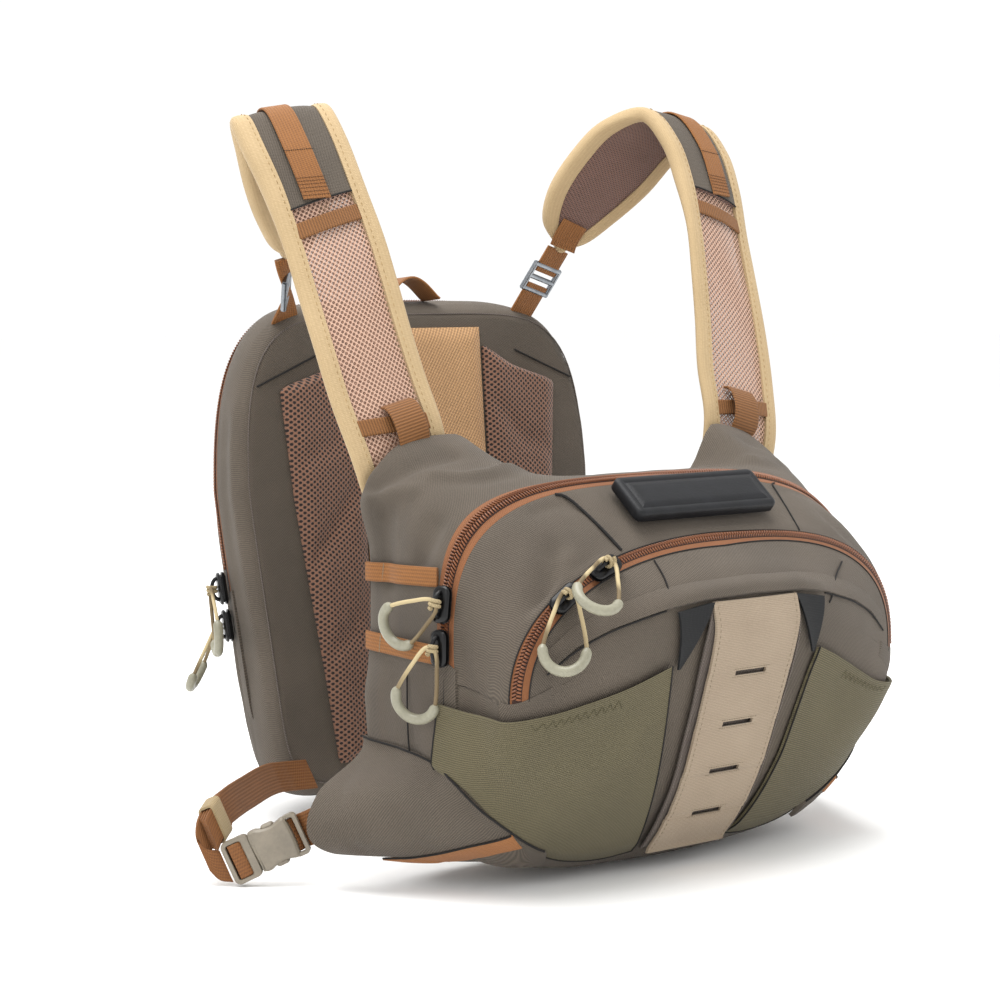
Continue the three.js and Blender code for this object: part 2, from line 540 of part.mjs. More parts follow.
for (const [side, sign] of [['left', 1], ['right', -1]]) {
  const thick = PAD.thick / 2;
  const core = [...coreStations.slice(0, -1), PAD.coreEnd - PAD.coreGap];
  add(harness, `shoulder_pad_${side}`, padLayer(core, (half) => {
    const reach = coreHalf(half) - GAP;
    return [-reach, 0, reach];
  }, -thick, thick, sign), lining);
  add(harness, `strap_binding_${side}`, padLayer(bindingStations, (half) => {
    const reach = coreHalf(half);
    return [-half, -reach, reach, half];
  }, -thick, thick, sign, (i, j) => j !== 1 || i >= coreStations.length - 1), cream);
  const over = WEBBING.width / 2;
  const onPad = thick + 3 * GAP;
  const webStations = spread(STRAP_WEBBING.from, STRAP_WEBBING.to, STRAP_WEBBING.steps);
  const web = padLayer(webStations, () => [-over, over], onPad, onPad + WEBBING.thick, sign);
  add(harness, `strap_webbing_${side}`, web, rust);

  const tip = onSide(vector(TAB.tip), sign);
  const anchor = onSide(vector(TAB.anchor), sign);
  const drop = anchor.clone().sub(tip);
  const lockShare = (LOCK.long / 2 + GAP) / drop.length();
  const acrossTab = new THREE.Vector3(1, 0, 0).projectOnPlane(drop.clone().normalize());
  const along = (share) => tip.clone().addScaledVector(drop, share);
  const upperTab = [along(TAB.start), along(TAB.lock - lockShare)];
  const lowerTab = [along(TAB.lock + lockShare), along(TAB.end)];
  add(harness, `strap_tab_${side}`, ribbon(upperTab, acrossTab, WEBBING), rust);
  add(harness, `pack_tab_${side}`, ribbon(lowerTab, acrossTab, WEBBING), rust);
  const frame = roundedRectangle(LOCK.long, LOCK.wide, LOCK.corner);
  const windowLong = (LOCK.long - 3 * LOCK.bar) / 2;
  cutSlot(frame, -(windowLong + LOCK.bar) / 2, windowLong);
  cutSlot(frame, (windowLong + LOCK.bar) / 2, windowLong);
  const lock = add(harness, `ladder_lock_${side}`, slab(frame, LOCK.thick), silver);
  place(lock, along(TAB.lock), drop, acrossTab);

  const strapAcross = mirrored(vector(SIDE_STRAP_ACROSS), sign);
  const strapPath = SIDE_STRAP.map((point) => mirrored(vector(point), sign));
  add(harness, `side_strap_${side}`, ribbon(strapPath, strapAcross, WEBBING), rust);
  const buckleAlong = mirrored(vector(BUCKLE_ALONG), sign).normalize();
  const buckleAt = mirrored(vector(BUCKLE_AT), sign);
  const onBuckle = (off) => buckleAt.clone().addScaledVector(buckleAlong, off);
  const split = -(BUCKLE.plug + BUCKLE.socket) / 2 + BUCKLE.plug;
  const plug = roundedRectangle(BUCKLE.plug, BUCKLE.wide, BUCKLE.corner);
  cutSlot(plug, BUCKLE_SLOT.plug, BUCKLE.slot);
  place(add(harness, `buckle_plug_${side}`, slab(plug, BUCKLE.plugThick, BUCKLE.bevel), nylon),
    onBuckle(split - BUCKLE.plug / 2), buckleAlong, strapAcross);
  const socket = roundedRectangle(BUCKLE.socket - GAP, BUCKLE.wide, BUCKLE.corner);
  cutSlot(socket, BUCKLE_SLOT.socket, BUCKLE.slot);
  place(add(harness, `buckle_socket_${side}`, slab(socket, BUCKLE.thick, BUCKLE.bevel), nylon),
    onBuckle(split + (BUCKLE.socket + GAP) / 2), buckleAlong, strapAcross);
  const socketEnd = split + BUCKLE.socket + 2 * GAP;
  const wingEnds = [onBuckle(socketEnd), onBuckle(socketEnd + WING_STRAP)];
  add(harness, `wing_strap_${side}`, ribbon(wingEnds, strapAcross, WEBBING), rust);
}

// Zip pulls on the right: a slider on the coil, a cord through its eye and a tube grip on the cord.
const ZIPS = {
  main: { group: chest, skin: chestSkin, depth: CHEST.mainZip },
  pocket: { group: chest, skin: chestSkin, depth: CHEST.pocketZip },
  pack: { group: backpack, skin: packSkin, depth: BACKPACK.zip },
};
const NUDGE = 0.002; // small turn that shows which way a zip runs
// Slider from above, as shares of its length and width.
const SLIDER_OUTLINE = [
  [-0.5, -0.3], [-0.2, -0.5], [0.3, -0.5], [0.5, -0.36], [0.5, 0.36], [0.3, 0.5], [-0.2, 0.5], [-0.5, 0.3],
];
const sliderShape = new THREE.Shape(SLIDER_OUTLINE
  .map(([x, y]) => new THREE.Vector2(x * SLIDER.long, y * SLIDER.wide)));

for (const { name, zip, height, hang, face } of PULLS) {
  const { group, skin, depth } = ZIPS[zip];
  const turn = skin.angleAt(height, depth);
  const foot = skin.point(turn, depth);
  const along = skin.point(turn - NUDGE, depth).sub(skin.point(turn + NUDGE, depth)).normalize();
  const across = skin.point(turn, depth + 1).sub(skin.point(turn, depth - 1)).normalize();
  const out = along.clone().cross(across).normalize();
  if (out.x > 0) out.negate();
  const middle = foot.clone().addScaledVector(out, ZIP.rise + 2 * GAP + SLIDER.tall / 2);
  const slider = add(group, `slider_${name}`, slab(sliderShape, SLIDER.tall, SLIDER.bevel), black);
  place(slider, middle, along, across);

  const u = vector(hang).normalize();
  const eye = middle.clone().addScaledVector(out, SLIDER.tall / 2 + EYE.rise).addScaledVector(u, EYE.ahead);
  const v = vector(face).cross(u).normalize();
  const inPlane = (a, b) => eye.clone().addScaledVector(u, a).addScaledVector(v, b);
  const half = THREE.MathUtils.degToRad(GRIP.sweep / 2);
  const bend = spread(-half, half, 16).map((a) =>
    inPlane(GRIP.reach + GRIP.bend * Math.cos(a), GRIP.bend * Math.sin(a)));
  const gripTube = tube(new THREE.CatmullRomCurve3(bend), GRIP.tube, GRIP.sides, GRIP.steps);
  add(group, `pull_grip_${name}`, gripTube, grey);
  const route = new THREE.CatmullRomCurve3(CORD_ROUTE.map(([a, b]) => inPlane(a, b)));
  add(group, `pull_cord_${name}`, tube(route, CORD.diameter, CORD.sides, CORD.steps), cream);
}

const pack = new THREE.Group();
pack.add(chest, backpack, harness);

export default pack;
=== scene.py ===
import math

import bmesh
import bpy
import numpy as np
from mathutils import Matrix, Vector, noise
from mathutils.bvhtree import BVHTree


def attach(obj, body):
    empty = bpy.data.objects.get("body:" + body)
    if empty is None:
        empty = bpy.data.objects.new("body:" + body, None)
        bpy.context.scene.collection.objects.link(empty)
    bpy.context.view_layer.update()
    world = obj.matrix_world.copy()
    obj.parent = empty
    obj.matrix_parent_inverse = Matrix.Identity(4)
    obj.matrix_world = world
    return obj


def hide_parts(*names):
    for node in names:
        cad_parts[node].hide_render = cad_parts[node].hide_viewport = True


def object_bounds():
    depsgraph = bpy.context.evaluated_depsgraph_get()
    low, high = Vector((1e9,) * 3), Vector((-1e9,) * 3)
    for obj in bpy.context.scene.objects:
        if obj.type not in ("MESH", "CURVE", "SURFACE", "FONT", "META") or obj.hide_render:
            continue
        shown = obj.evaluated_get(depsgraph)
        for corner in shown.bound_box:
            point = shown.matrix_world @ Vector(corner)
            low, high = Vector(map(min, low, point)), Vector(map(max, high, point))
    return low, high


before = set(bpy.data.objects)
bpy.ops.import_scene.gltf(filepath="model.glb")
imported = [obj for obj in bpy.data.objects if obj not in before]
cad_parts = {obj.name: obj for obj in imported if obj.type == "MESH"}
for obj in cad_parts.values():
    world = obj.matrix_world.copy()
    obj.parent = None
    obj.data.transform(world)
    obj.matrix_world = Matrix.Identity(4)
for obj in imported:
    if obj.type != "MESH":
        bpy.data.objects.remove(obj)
cad_low, cad_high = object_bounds()

# Studio: the camera stands ahead of the wearer's right shoulder, a little above the middle of the pack.
# A pale floor lies under the pack, and wide soft lamps light it from above and from both sides.
MM = 0.001
AIM = Vector((-0.0696, -0.093, -0.230))
AZIMUTH = math.radians(-40.0)
ELEVATION = math.radians(5.0)
DISTANCE = 1.5
SENSOR = 36.0
LENS = 90.72
SKY = 1.04
FLOOR_GAP = 0.001
FLOOR_HALF = 12.0
LAMPS = (
    # name, place, width, power
    ("overhead", (-0.4, 0.0, 1.8), 1.8, 62.0),
    ("front_left", (-2.1, -1.0, 0.7), 1.4, 8.0),
    ("front_right", (1.2, -2.0, 0.5), 1.2, 2.5),
    ("rear", (0.5, 2.0, 0.9), 1.6, 10.0),
)
scene = bpy.context.scene
scene.view_settings.view_transform = "Standard"
away = Vector((
    math.sin(AZIMUTH) * math.cos(ELEVATION),
    -math.cos(AZIMUTH) * math.cos(ELEVATION),
    math.sin(ELEVATION),
))
camera = bpy.data.objects.new("camera", bpy.data.cameras.new("camera"))
camera.data.sensor_width = SENSOR
camera.data.lens = LENS
camera.location = AIM + away * DISTANCE
camera.rotation_euler = away.to_track_quat("Z", "Y").to_euler()
scene.collection.objects.link(camera)
scene.camera = camera
for lamp_name, place, width, power in LAMPS:
    lamp = bpy.data.objects.new(lamp_name, bpy.data.lights.new(lamp_name, "AREA"))
    lamp.data.size = width
    lamp.data.energy = power
    lamp.location = place
    lamp.rotation_euler = (Vector(place) - AIM).to_track_quat("Z", "Y").to_euler()
    scene.collection.objects.link(lamp)
world = bpy.data.worlds.new("studio")
world.use_nodes = True
sky = world.node_tree.nodes["Background"]
sky.inputs["Color"].default_value = (1.0, 1.0, 1.0, 1.0)
sky.inputs["Strength"].default_value = SKY
scene.world = world


def srgb(code):
    channels = [int(code[k:k + 2], 16) / 255 for k in (0, 2, 4)]
    return [c / 12.92 if c <= 0.04045 else ((c + 0.055) / 1.055) ** 2.4 for c in channels] + [1.0]


def join(tree, kind, *inputs, **settings):
    """Adds a shader node, sets or links its inputs in order, and gives its first output."""
    made = tree.nodes.new("ShaderNode" + kind)
    for key, value in settings.items():
        setattr(made, key, value)
    for socket, value in zip(made.inputs, inputs):
        if isinstance(value, bpy.types.NodeSocket):
            tree.links.new(value, socket)
        elif value is not None:
            socket.default_value = value
    return made.outputs[0]


def calc(tree, operation, *values):
    return join(tree, "Math", *values, operation=operation)


def tint(tree, height, dark, light, low=0.0, high=1.0):
    """Colour between two sRGB codes, by a height."""
    made = tree.nodes.new("ShaderNodeValToRGB")
    tree.links.new(height, made.inputs[0])
    for stop, place, code in zip(made.color_ramp.elements, (low, high), (dark, light)):
        stop.position = place
        stop.color = srgb(code)
    return made.outputs[0]


def raise_bump(tree, shader, height, relief):
    """Lets a height from 0 to 1 stand out by the relief, in millimetres."""
    bump = tree.nodes.new("ShaderNodeBump")
    bump.inputs["Distance"].default_value = relief * MM
    tree.links.new(height, bump.inputs["Height"])
    tree.links.new(bump.outputs[0], shader.inputs["Normal"])


def bare_material(name, roughness, **sockets):
    material = bpy.data.materials.new(name)
    material.use_nodes = True
    shader = material.node_tree.nodes["Principled BSDF"]
    shader.inputs["Roughness"].default_value = roughness
    for socket, value in sockets.items():
        shader.inputs[socket.replace("_", " ")].default_value = value
    return material, material.node_tree, shader


def mottled(name, roughness, dark, light, scale, detail=2.0, low=0.3, high=0.7):
    """A finish whose tone drifts between two sRGB codes."""
    material, tree, shader = bare_material(name, roughness)
    spots = join(tree, "TexNoise", join(tree, "TexCoord"), None, scale, detail)
    tree.links.new(tint(tree, spots, dark, light, low, high), shader.inputs["Base Color"])
    return material


floor_paint = mottled("floor_paint", 0.9, "fafaf9", "fefefd", 3.0, 3.0, 0.0, 1.0)
floor_mesh = bpy.data.meshes.new("floor")
floor_height = cad_low.z - FLOOR_GAP
floor_mesh.from_pydata(
    [(x * FLOOR_HALF, y * FLOOR_HALF, floor_height) for x, y in ((-1, -1), (1, -1), (1, 1), (-1, 1))],
    [], [(0, 1, 2, 3)])
floor_mesh.materials.append(floor_paint)
floor = bpy.data.objects.new("floor", floor_mesh)
scene.collection.objects.link(floor)

# Chest pack, rear half: back panel, gusset and the two ears that the shoulder straps are sewn into.
# Taupe polyester twill, cut in panels and bagged out, so it stands soft and slightly rumpled.
WALL = 2.0
QUARTER = 64
CHEST_PLACE = np.array([0.0, -93.0, -438.0])
CHEST_MIDDLE = 120.0
SECTION = ("depth", "half", "mid", "top", "base", "crown", "crown_left", "keel")
CHEST_SECTIONS = (
    (0, 165, 116, 219, 8, 10, 6, 4),
    (24, 168, 117, 222, 2, 7, 5, 3.6),
    (68, 166, 118, 223, -3, 4, 2.9, 3.4),
    (92, 160, 112, 206, 18, 2.8, 3.2, 2.8),
    (113, 151, 108, 189, 54, 2.2, 2.8, 2.3),
    (124, 125, 120, 181, 84, 2.1, 2.3, 2.1),
    (134, 90, 136, 173, 114, 2, 2, 2),
    (140, 55, 147, 165, 134, 2, 2, 2),
    (142, 26, 151, 159, 144, 2, 2, 2),
)
EAR = {"rise": 31.0, "from_left": 84.0, "from_right": 56.0, "full": 108.0, "run": 60.0, "fall": 1.3}
CHEST_ZIP = {"depth": 68.0, "half": 7.7, "shows": (-7.4, 7.0)}
SIDES = ((1, "left"), (-1, "right"))


def both_sides(lines):
    """Folds on one side of the pack, and again, shallower, on the other."""
    mirrored = [(tuple((-x, y, z) for x, y, z in line), depth * 0.8, width) for line, depth, width in lines]
    return tuple(lines) + tuple(mirrored)


CHEST_CREASES = both_sides((
    # points (mm), depth, width
    (((-162, -94, -222), (-163, -95, -232)), 7.5, 14.0),
    (((-166, -95, -235), (-167, -95, -280), (-167, -95, -320)), 3.0, 14.0),
    (((-168, -95, -338), (-171, -95, -356), (-171, -95, -376)), 7.0, 15.0),
    (((-164, -101, -220), (-153, -107, -206), (-138, -110, -201), (-124, -112, -198)), -4.0, 6.5),
    (((-165, -102, -228), (-163, -109, -222), (-156, -120, -217.6)), 2.6, 5.0),
    (((-166, -109, -234), (-166.7, -109, -256), (-167, -112, -268)), -3.0, 7.0),
    (((-158, -141, -236), (-162, -141, -245), (-165, -139, -254)), -3.4, 7.0),
    (((-141, -122, -209), (-128, -131, -210.5), (-109, -134.7, -209.5), (-76, -124, -206.6)), 2.8, 4.0),
    (((-136, -128, -214), (-122, -137, -215), (-104, -139, -213)), -1.8, 6.0),
    (((-167, -118, -318), (-167, -128, -342), (-166, -132, -366)), -1.4, 8.0),
))


def smooth_step(value, low, high):
    share = np.clip((value - low) / (high - low), 0.0, 1.0)
    return share * share * (3.0 - 2.0 * share)


def cubic(keys, values, at):
    """The smooth curve through a table's column that the solid was lofted on."""
    keys, values, at = np.asarray(keys, float), np.asarray(values, float), np.asarray(at, float)
    k = np.clip(np.searchsorted(keys, at, side="right") - 1, 0, len(keys) - 2)
    first, last = k == 0, k == len(keys) - 2
    before, after = np.where(first, 1, k - 1), np.where(last, len(keys) - 2, k + 2)
    step = keys[k + 1] - keys[k]
    lead = np.where(first, -0.5, 0.5 * step / np.where(first, 1.0, keys[k] - keys[before]))
    trail = np.where(last, -0.5, 0.5 * step / np.where(last, 1.0, keys[after] - keys[k + 1]))
    p = (at - keys[k]) / step
    return (
        values[before] * (-lead * p ** 3 + 2 * lead * p ** 2 - lead * p)
        + values[k] * ((1 + lead) * p ** 3 + (-1.5 - 2 * lead) * p ** 2 + (-0.5 + lead) * p + 1)
        + values[k + 1] * ((-1 - trail) * p ** 3 + (1.5 + trail) * p ** 2 + 0.5 * p)
        + values[after] * (trail * p ** 3 - trail * p ** 2)
    )


def bag_skin(table, facing, ear=None, taper=None):
    """Gives skin(angle, depth, lift): a point of the bag's outside, in the bag's own axes."""
    columns = dict(zip(SECTION, np.array(table, float).T))
    taper = taper or {"share": 0.0, "below": 1.0}

    def skin(angle, depth, lift=0.0):
        angle, depth, lift = np.broadcast_arrays(
            np.asarray(angle, float), np.asarray(depth, float), np.asarray(lift, float))
        s = {key: cubic(columns["depth"], column, depth) for key, column in columns.items()}
        sine, cosine = np.sin(angle), np.cos(angle)
        upper = sine > -1e-9
        corner = np.where(upper, np.where(cosine > 0, s["crown_left"], s["crown"]), s["keel"])
        rise = np.abs(sine) ** (2 / corner)
        over = s["mid"] + (s["top"] - s["mid"] + lift) * rise
        under = s["mid"] - (s["mid"] - s["base"] + lift) * rise
        z = np.where(upper, over, under)
        width = s["half"] * (1 - taper["share"] * np.maximum(0, 1 - z / taper["below"]))
        x = np.sign(cosine) * (width + lift) * np.abs(cosine) ** (2 / corner)
        if ear:
            start = np.where(x > 0, ear["from_left"], ear["from_right"])
            fade = np.maximum(0, 1 - depth / ear["run"]) ** ear["fall"]
            lobe = ear["rise"] * smooth_step(np.abs(x), start, ear["full"]) * fade
            z = z + np.where(upper, lobe * rise, 0.0)
        return np.stack([x, facing * depth, z], -1)

    return skin


def ring_angles(quarters=(0, 1, 2, 3), per_quarter=QUARTER, ends=False, even=2.2):
    """Angles round a bag, spaced so that points run evenly along its flat sides."""
    share = np.arange(per_quarter) / per_quarter
    eased = share ** even / (share ** even + (1 - share) ** even)
    angles = np.concatenate([(quarter + eased) * math.pi / 2 for quarter in quarters])
    return np.append(angles, (quarters[-1] + 1) * math.pi / 2) if ends else angles


def spread_lay(face, ring=False):
    """A grid laid flat: lengths along each row, from its middle, and down each column."""
    grid = np.concatenate([face, face[:, :1]], 1) if ring else face
    u = np.pad(np.cumsum(np.linalg.norm(np.diff(grid, axis=1), axis=-1), 1), ((0, 0), (1, 0)))
    v = np.pad(np.cumsum(np.linalg.norm(np.diff(grid, axis=0), axis=-1), 0), ((1, 0), (0, 0)))
    return np.stack([u - u[:, u.shape[1] // 2, None], v], -1)


def run_of(points):
    """Length from the first point to each point of a line."""
    return np.concatenate([[0.0], np.cumsum(np.linalg.norm(np.diff(points, axis=0), axis=1))])


def rumple(points, size, height, seed=0.0):
    """Soft dents: smooth noise over points in millimetres."""
    flat = np.asarray(points, float).reshape(-1, 3) / size + seed
    waves = np.array([noise.noise(Vector(p)) for p in flat])
    return height * waves.reshape(np.shape(points)[:-1])


def creases(points, lines):
    """Folds along lines of points: each has its depth (below zero for a groove) and its width."""
    points = np.asarray(points, float)
    relief = np.zeros(points.shape[:-1])
    for line, depth, width in lines:
        line = np.array(line, float)
        nearest = np.full(points.shape[:-1], np.inf)
        for start, end in zip(line[:-1], line[1:]):
            edge = end - start
            share = np.clip(((points - start) @ edge) / (edge @ edge), 0, 1)
            nearest = np.minimum(nearest, np.linalg.norm(points - start - share[..., None] * edge, axis=-1))
        relief += depth * np.exp(-(nearest / width) ** 2)
    return relief


def make_piece(name, vertices, faces, lay, backs=None, sharp=50.0):
    """A mesh piece from points and a flat lay (both in millimetres) for each face corner."""
    mesh = bpy.data.meshes.new(name)
    mesh.from_pydata((np.asarray(vertices) * MM).tolist(), [], [list(face) for face in faces])
    mesh.uv_layers.new(name="lay").data.foreach_set("uv", (np.asarray(lay) * MM).ravel())
    if backs is not None:
        mesh.polygons.foreach_set("material_index", np.asarray(backs, int))
    mend = bmesh.new()
    mend.from_mesh(mesh)
    bmesh.ops.remove_doubles(mend, verts=mend.verts, dist=2e-6)
    bmesh.ops.dissolve_degenerate(mend, edges=mend.edges, dist=1e-7)
    bmesh.ops.recalc_face_normals(mend, faces=mend.faces)
    mend.to_mesh(mesh)
    mend.free()
    mesh.polygons.foreach_set("use_smooth", [True] * len(mesh.polygons))
    mesh.set_sharp_from_angle(angle=math.radians(sharp))
    piece = bpy.data.objects.new(name, mesh)
    scene.collection.objects.link(piece)
    return piece


def panel(name, face, back, ring=False, lay=None, kept=None, sharp=50.0):
    """Closed cloth between two like grids of points; cells that aren't kept are cut right through."""
    face, back = np.asarray(face, float), np.asarray(back, float)
    rows, columns = face.shape[:2]
    spans = columns if ring else columns - 1
    kept = np.ones((rows - 1, spans), bool) if kept is None else kept
    lay = spread_lay(face, ring) if lay is None else np.asarray(lay)
    if ring and lay.shape[1] == columns:
        lay = np.concatenate([lay, lay[:, :1]], 1)
    quads, corners, backs = [], [], []

    def add(spots):
        quads.append([layer * rows * columns + r * columns + c % columns for layer, r, c in spots])
        corners.extend(lay[r, c] for _, r, c in spots)
        backs.append(max(layer for layer, _, _ in spots))

    for r in range(rows - 1):
        for c in range(spans):
            if not kept[r, c]:
                continue
            add(((0, r, c), (0, r + 1, c), (0, r + 1, c + 1), (0, r, c + 1)))
            add(((1, r, c), (1, r, c + 1), (1, r + 1, c + 1), (1, r + 1, c)))
            if r == 0 or not kept[r - 1, c]:
                add(((0, r, c), (0, r, c + 1), (1, r, c + 1), (1, r, c)))
            if r == rows - 2 or not kept[r + 1, c]:
                add(((0, r + 1, c), (1, r + 1, c), (1, r + 1, c + 1), (0, r + 1, c + 1)))
            if not (kept[r, c - 1] if ring or c else False):
                add(((0, r, c), (1, r, c), (1, r + 1, c), (0, r + 1, c)))
            if not (kept[r, (c + 1) % spans] if ring or c < spans - 1 else False):
                add(((0, r, c + 1), (0, r + 1, c + 1), (1, r + 1, c + 1), (1, r, c + 1)))
    vertices = np.concatenate([face.reshape(-1, 3), back.reshape(-1, 3)])
    return make_piece(name, vertices, quads, corners, backs, sharp)


def fasten(piece, materials, slot, *nodes):
    """Gives a piece its materials and sets it on the pack, in place of its plain solids."""
    for material in materials:
        piece.data.materials.append(material)
    if len(materials) == 1 and piece.type == "MESH":
        piece.data.polygons.foreach_set("material_index", [0] * len(piece.data.polygons))
    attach(piece, "root")
    if nodes:
        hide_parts(*nodes)
    return piece


def cloth_lines(tree):
    """The cloth's own two directions, in millimetres."""
    spot = join(tree, "UVMap")
    wide = join(tree, "VectorMath", spot, (1000.0, 1000.0, 1000.0), operation="MULTIPLY")
    split = tree.nodes.new("ShaderNodeSeparateXYZ")
    tree.links.new(wide, split.inputs[0])
    return wide, split.outputs[0], split.outputs[1]


def ribs(tree, across, pitch):
    """Rounded ridges, from 0 to 1, side by side."""
    wave = calc(tree, "SINE", calc(tree, "MULTIPLY", across, 2 * math.pi / pitch))
    return calc(tree, "MULTIPLY_ADD", wave, 0.5, 0.5)


def twill_weave(tree, u, v, pitch=1.3):
    """Steep diagonal ridges, broken into single threads."""
    slope = calc(tree, "ADD", u, calc(tree, "MULTIPLY", v, 0.7))
    threads = ribs(tree, calc(tree, "SUBTRACT", v, calc(tree, "MULTIPLY", u, 0.35)), pitch * 0.8)
    return calc(tree, "MULTIPLY_ADD", threads, 0.3, calc(tree, "MULTIPLY", ribs(tree, slope, pitch), 0.7))


def cloth(name, dark, light, weave, relief, roughness=0.85, sheen=0.12, shade=0.35, blotch=0.02):
    """Cloth in two thread colours; weave(tree, u, v) gives each thread's height from 0 to 1. By the share
    shade, the low threads take the dark colour: painted shade in the weave's hollows.
    """
    material, tree, shader = bare_material(name, roughness, Sheen_Weight=sheen, Sheen_Roughness=0.4)
    spot, u, v = cloth_lines(tree)
    height = weave(tree, u, v)
    soft = join(tree, "TexNoise", spot, None, blotch, 4.0)
    fuzz = join(tree, "TexNoise", spot, None, 1.0, 3.0)
    mixed = calc(tree, "MULTIPLY_ADD", soft, 0.55, calc(tree, "MULTIPLY", fuzz, 0.45))
    mixed = calc(tree, "MULTIPLY_ADD", height, shade, calc(tree, "MULTIPLY", mixed, 1.0 - shade))
    tree.links.new(tint(tree, mixed, dark, light, 0.2, 0.8), shader.inputs["Base Color"])
    raise_bump(tree, shader, height, relief)
    return material


CAP_SPREAD = 0.88
CAP_PULL = 0.2


def shell(name, skin, mouth, end, middle, lines=(), edge=5.0, dents=1.3, seed=0.0, facing=False, sewn=0.0,
          crown=0.0, rolled=False):
    """A bag half: its wall runs from its mouth to an end panel; it is held smooth where it is sewn."""
    angles = ring_angles((3, 0, 1, 2))
    mouth, end = (np.broadcast_to(at(angles) if callable(at) else at, angles.shape) for at in (mouth, end))
    inward = np.sign(mouth.mean() - end.mean())
    turn = np.linspace(0, math.pi / 2, 6)[1:]
    shares = np.linspace(0, 1, 36)
    free = smooth_step(shares, 0.0, 0.14) * (1 - smooth_step(shares, 0.86, 1.0) * sewn)
    held = np.append(free, [1 - sewn] * len(turn))
    closing = np.linspace(0, 1, 12)[1:]
    layers = []
    relief, level = None, None
    for inset in (0.0, WALL):
        last = end + inward * inset
        depths = [mouth + (last + inward * edge - mouth) * share for share in shares]
        lifts = [np.full_like(angles, -inset)] * len(depths)
        depths += [last + inward * edge * (1 - math.sin(t)) for t in turn]
        lifts += [np.full_like(angles, -inset - edge * (1 - math.cos(t))) for t in turn]
        depths, lifts = np.array(depths), np.array(lifts)
        if relief is None:
            base = skin(angles, depths, lifts)
            relief = rumple(base, 62.0, dents, seed) + rumple(base, 23.0, dents * 0.3, seed + 7.0)
            relief = (relief + creases(base, lines)) * held[:, None]
        wall = skin(angles, depths, lifts + relief)
        heart = skin(np.array([math.pi / 2]), last.mean())[0]
        if level is None:
            out = np.abs(wall[-1][:, 0])
            reach = out * (CAP_SPREAD - CAP_PULL * smooth_step(out / out.max(), 0.65, 1.0))
            rise, run_out = np.sin(angles), np.cos(angles)
            for way, high in ((1, 1), (1, -1), (-1, 1), (-1, -1)):
                part = np.flatnonzero((way * run_out >= -1e-9) & (high * rise >= -1e-9))
                part = part[np.argsort(np.abs(rise[part]))]
                reach[part] = np.minimum.accumulate(reach[part])
            width = np.sign(wall[-1][:, 0]) * reach
            level = np.stack([width, 0 * angles + heart[1], 0 * angles + middle], -1)
        swell = np.array([0.0, -inward * crown, 0.0])
        cap = [wall[-1] + (level - wall[-1]) * share + swell * math.sin(share * math.pi / 2)
               for share in (0.0, *closing)]
        layers.append(np.concatenate([wall, np.array(cap)]))
    face = layers[0]
    lay = spread_lay(face, ring=True)
    flat_from = 0 if facing else len(wall)
    if rolled:
        steps = np.linalg.norm(np.diff(wall, axis=0), axis=-1)[::-1]
        run = np.concatenate([np.cumsum(steps, 0)[::-1], np.zeros((1, len(angles)))])
        rim = face[len(wall) - 1][:, [0, 2]]
        outward = rim - np.array([0.0, middle])
        outward /= np.linalg.norm(outward, axis=-1, keepdims=True)
        spread_out = rim + outward * run[..., None]
        lay[:len(wall)] = np.concatenate([spread_out, spread_out[:, :1]], 1)
    lay[flat_from:] = np.concatenate([face, face[:, :1]], 1)[flat_from:, :, [0, 2]]
    return panel(name, face, layers[1], ring=True, lay=lay)


chest_local = bag_skin(CHEST_SECTIONS, -1.0, EAR)


def chest_skin(angle, depth, lift=0.0):
    return chest_local(angle, depth, lift) + CHEST_PLACE


def beside_zip(skin, depth, reach):
    """Gives depth(angles): where the cloth lies that far, over the skin, from a zip's middle line."""
    fine = np.linspace(-11.0, 11.0, 89)

    def at(angles):
        spots = skin(np.asarray(angles)[:, None], depth + fine)
        run = np.pad(np.cumsum(np.linalg.norm(np.diff(spots, axis=1), axis=-1), 1), ((0, 0), (1, 0)))
        return depth + np.array([np.interp(reach, row - row[44], fine) for row in run])

    return at


def past_zip(upper, lower):
    """A mouth that stands clear of a zip over the top and meets the other half below it."""
    return lambda angles: np.where(np.sin(angles) > -1e-9, upper(angles), lower)


TWILL = cloth("taupe_twill", "373129", "665b4f", twill_weave, 0.3, shade=0.42, sheen=0.06)
GAP = 0.3
chest_heart = CHEST_PLACE[2] + CHEST_MIDDLE
chest_rear_shell = shell(
    "chest_rear_shell_cloth", chest_skin,
    past_zip(beside_zip(chest_skin, CHEST_ZIP["depth"], CHEST_ZIP["shows"][0]),
             CHEST_ZIP["depth"] - CHEST_ZIP["half"] - GAP),
    0.0, chest_heart, CHEST_CREASES, edge=2.5)
fasten(chest_rear_shell, [TWILL], "twill", "chest_rear_shell")

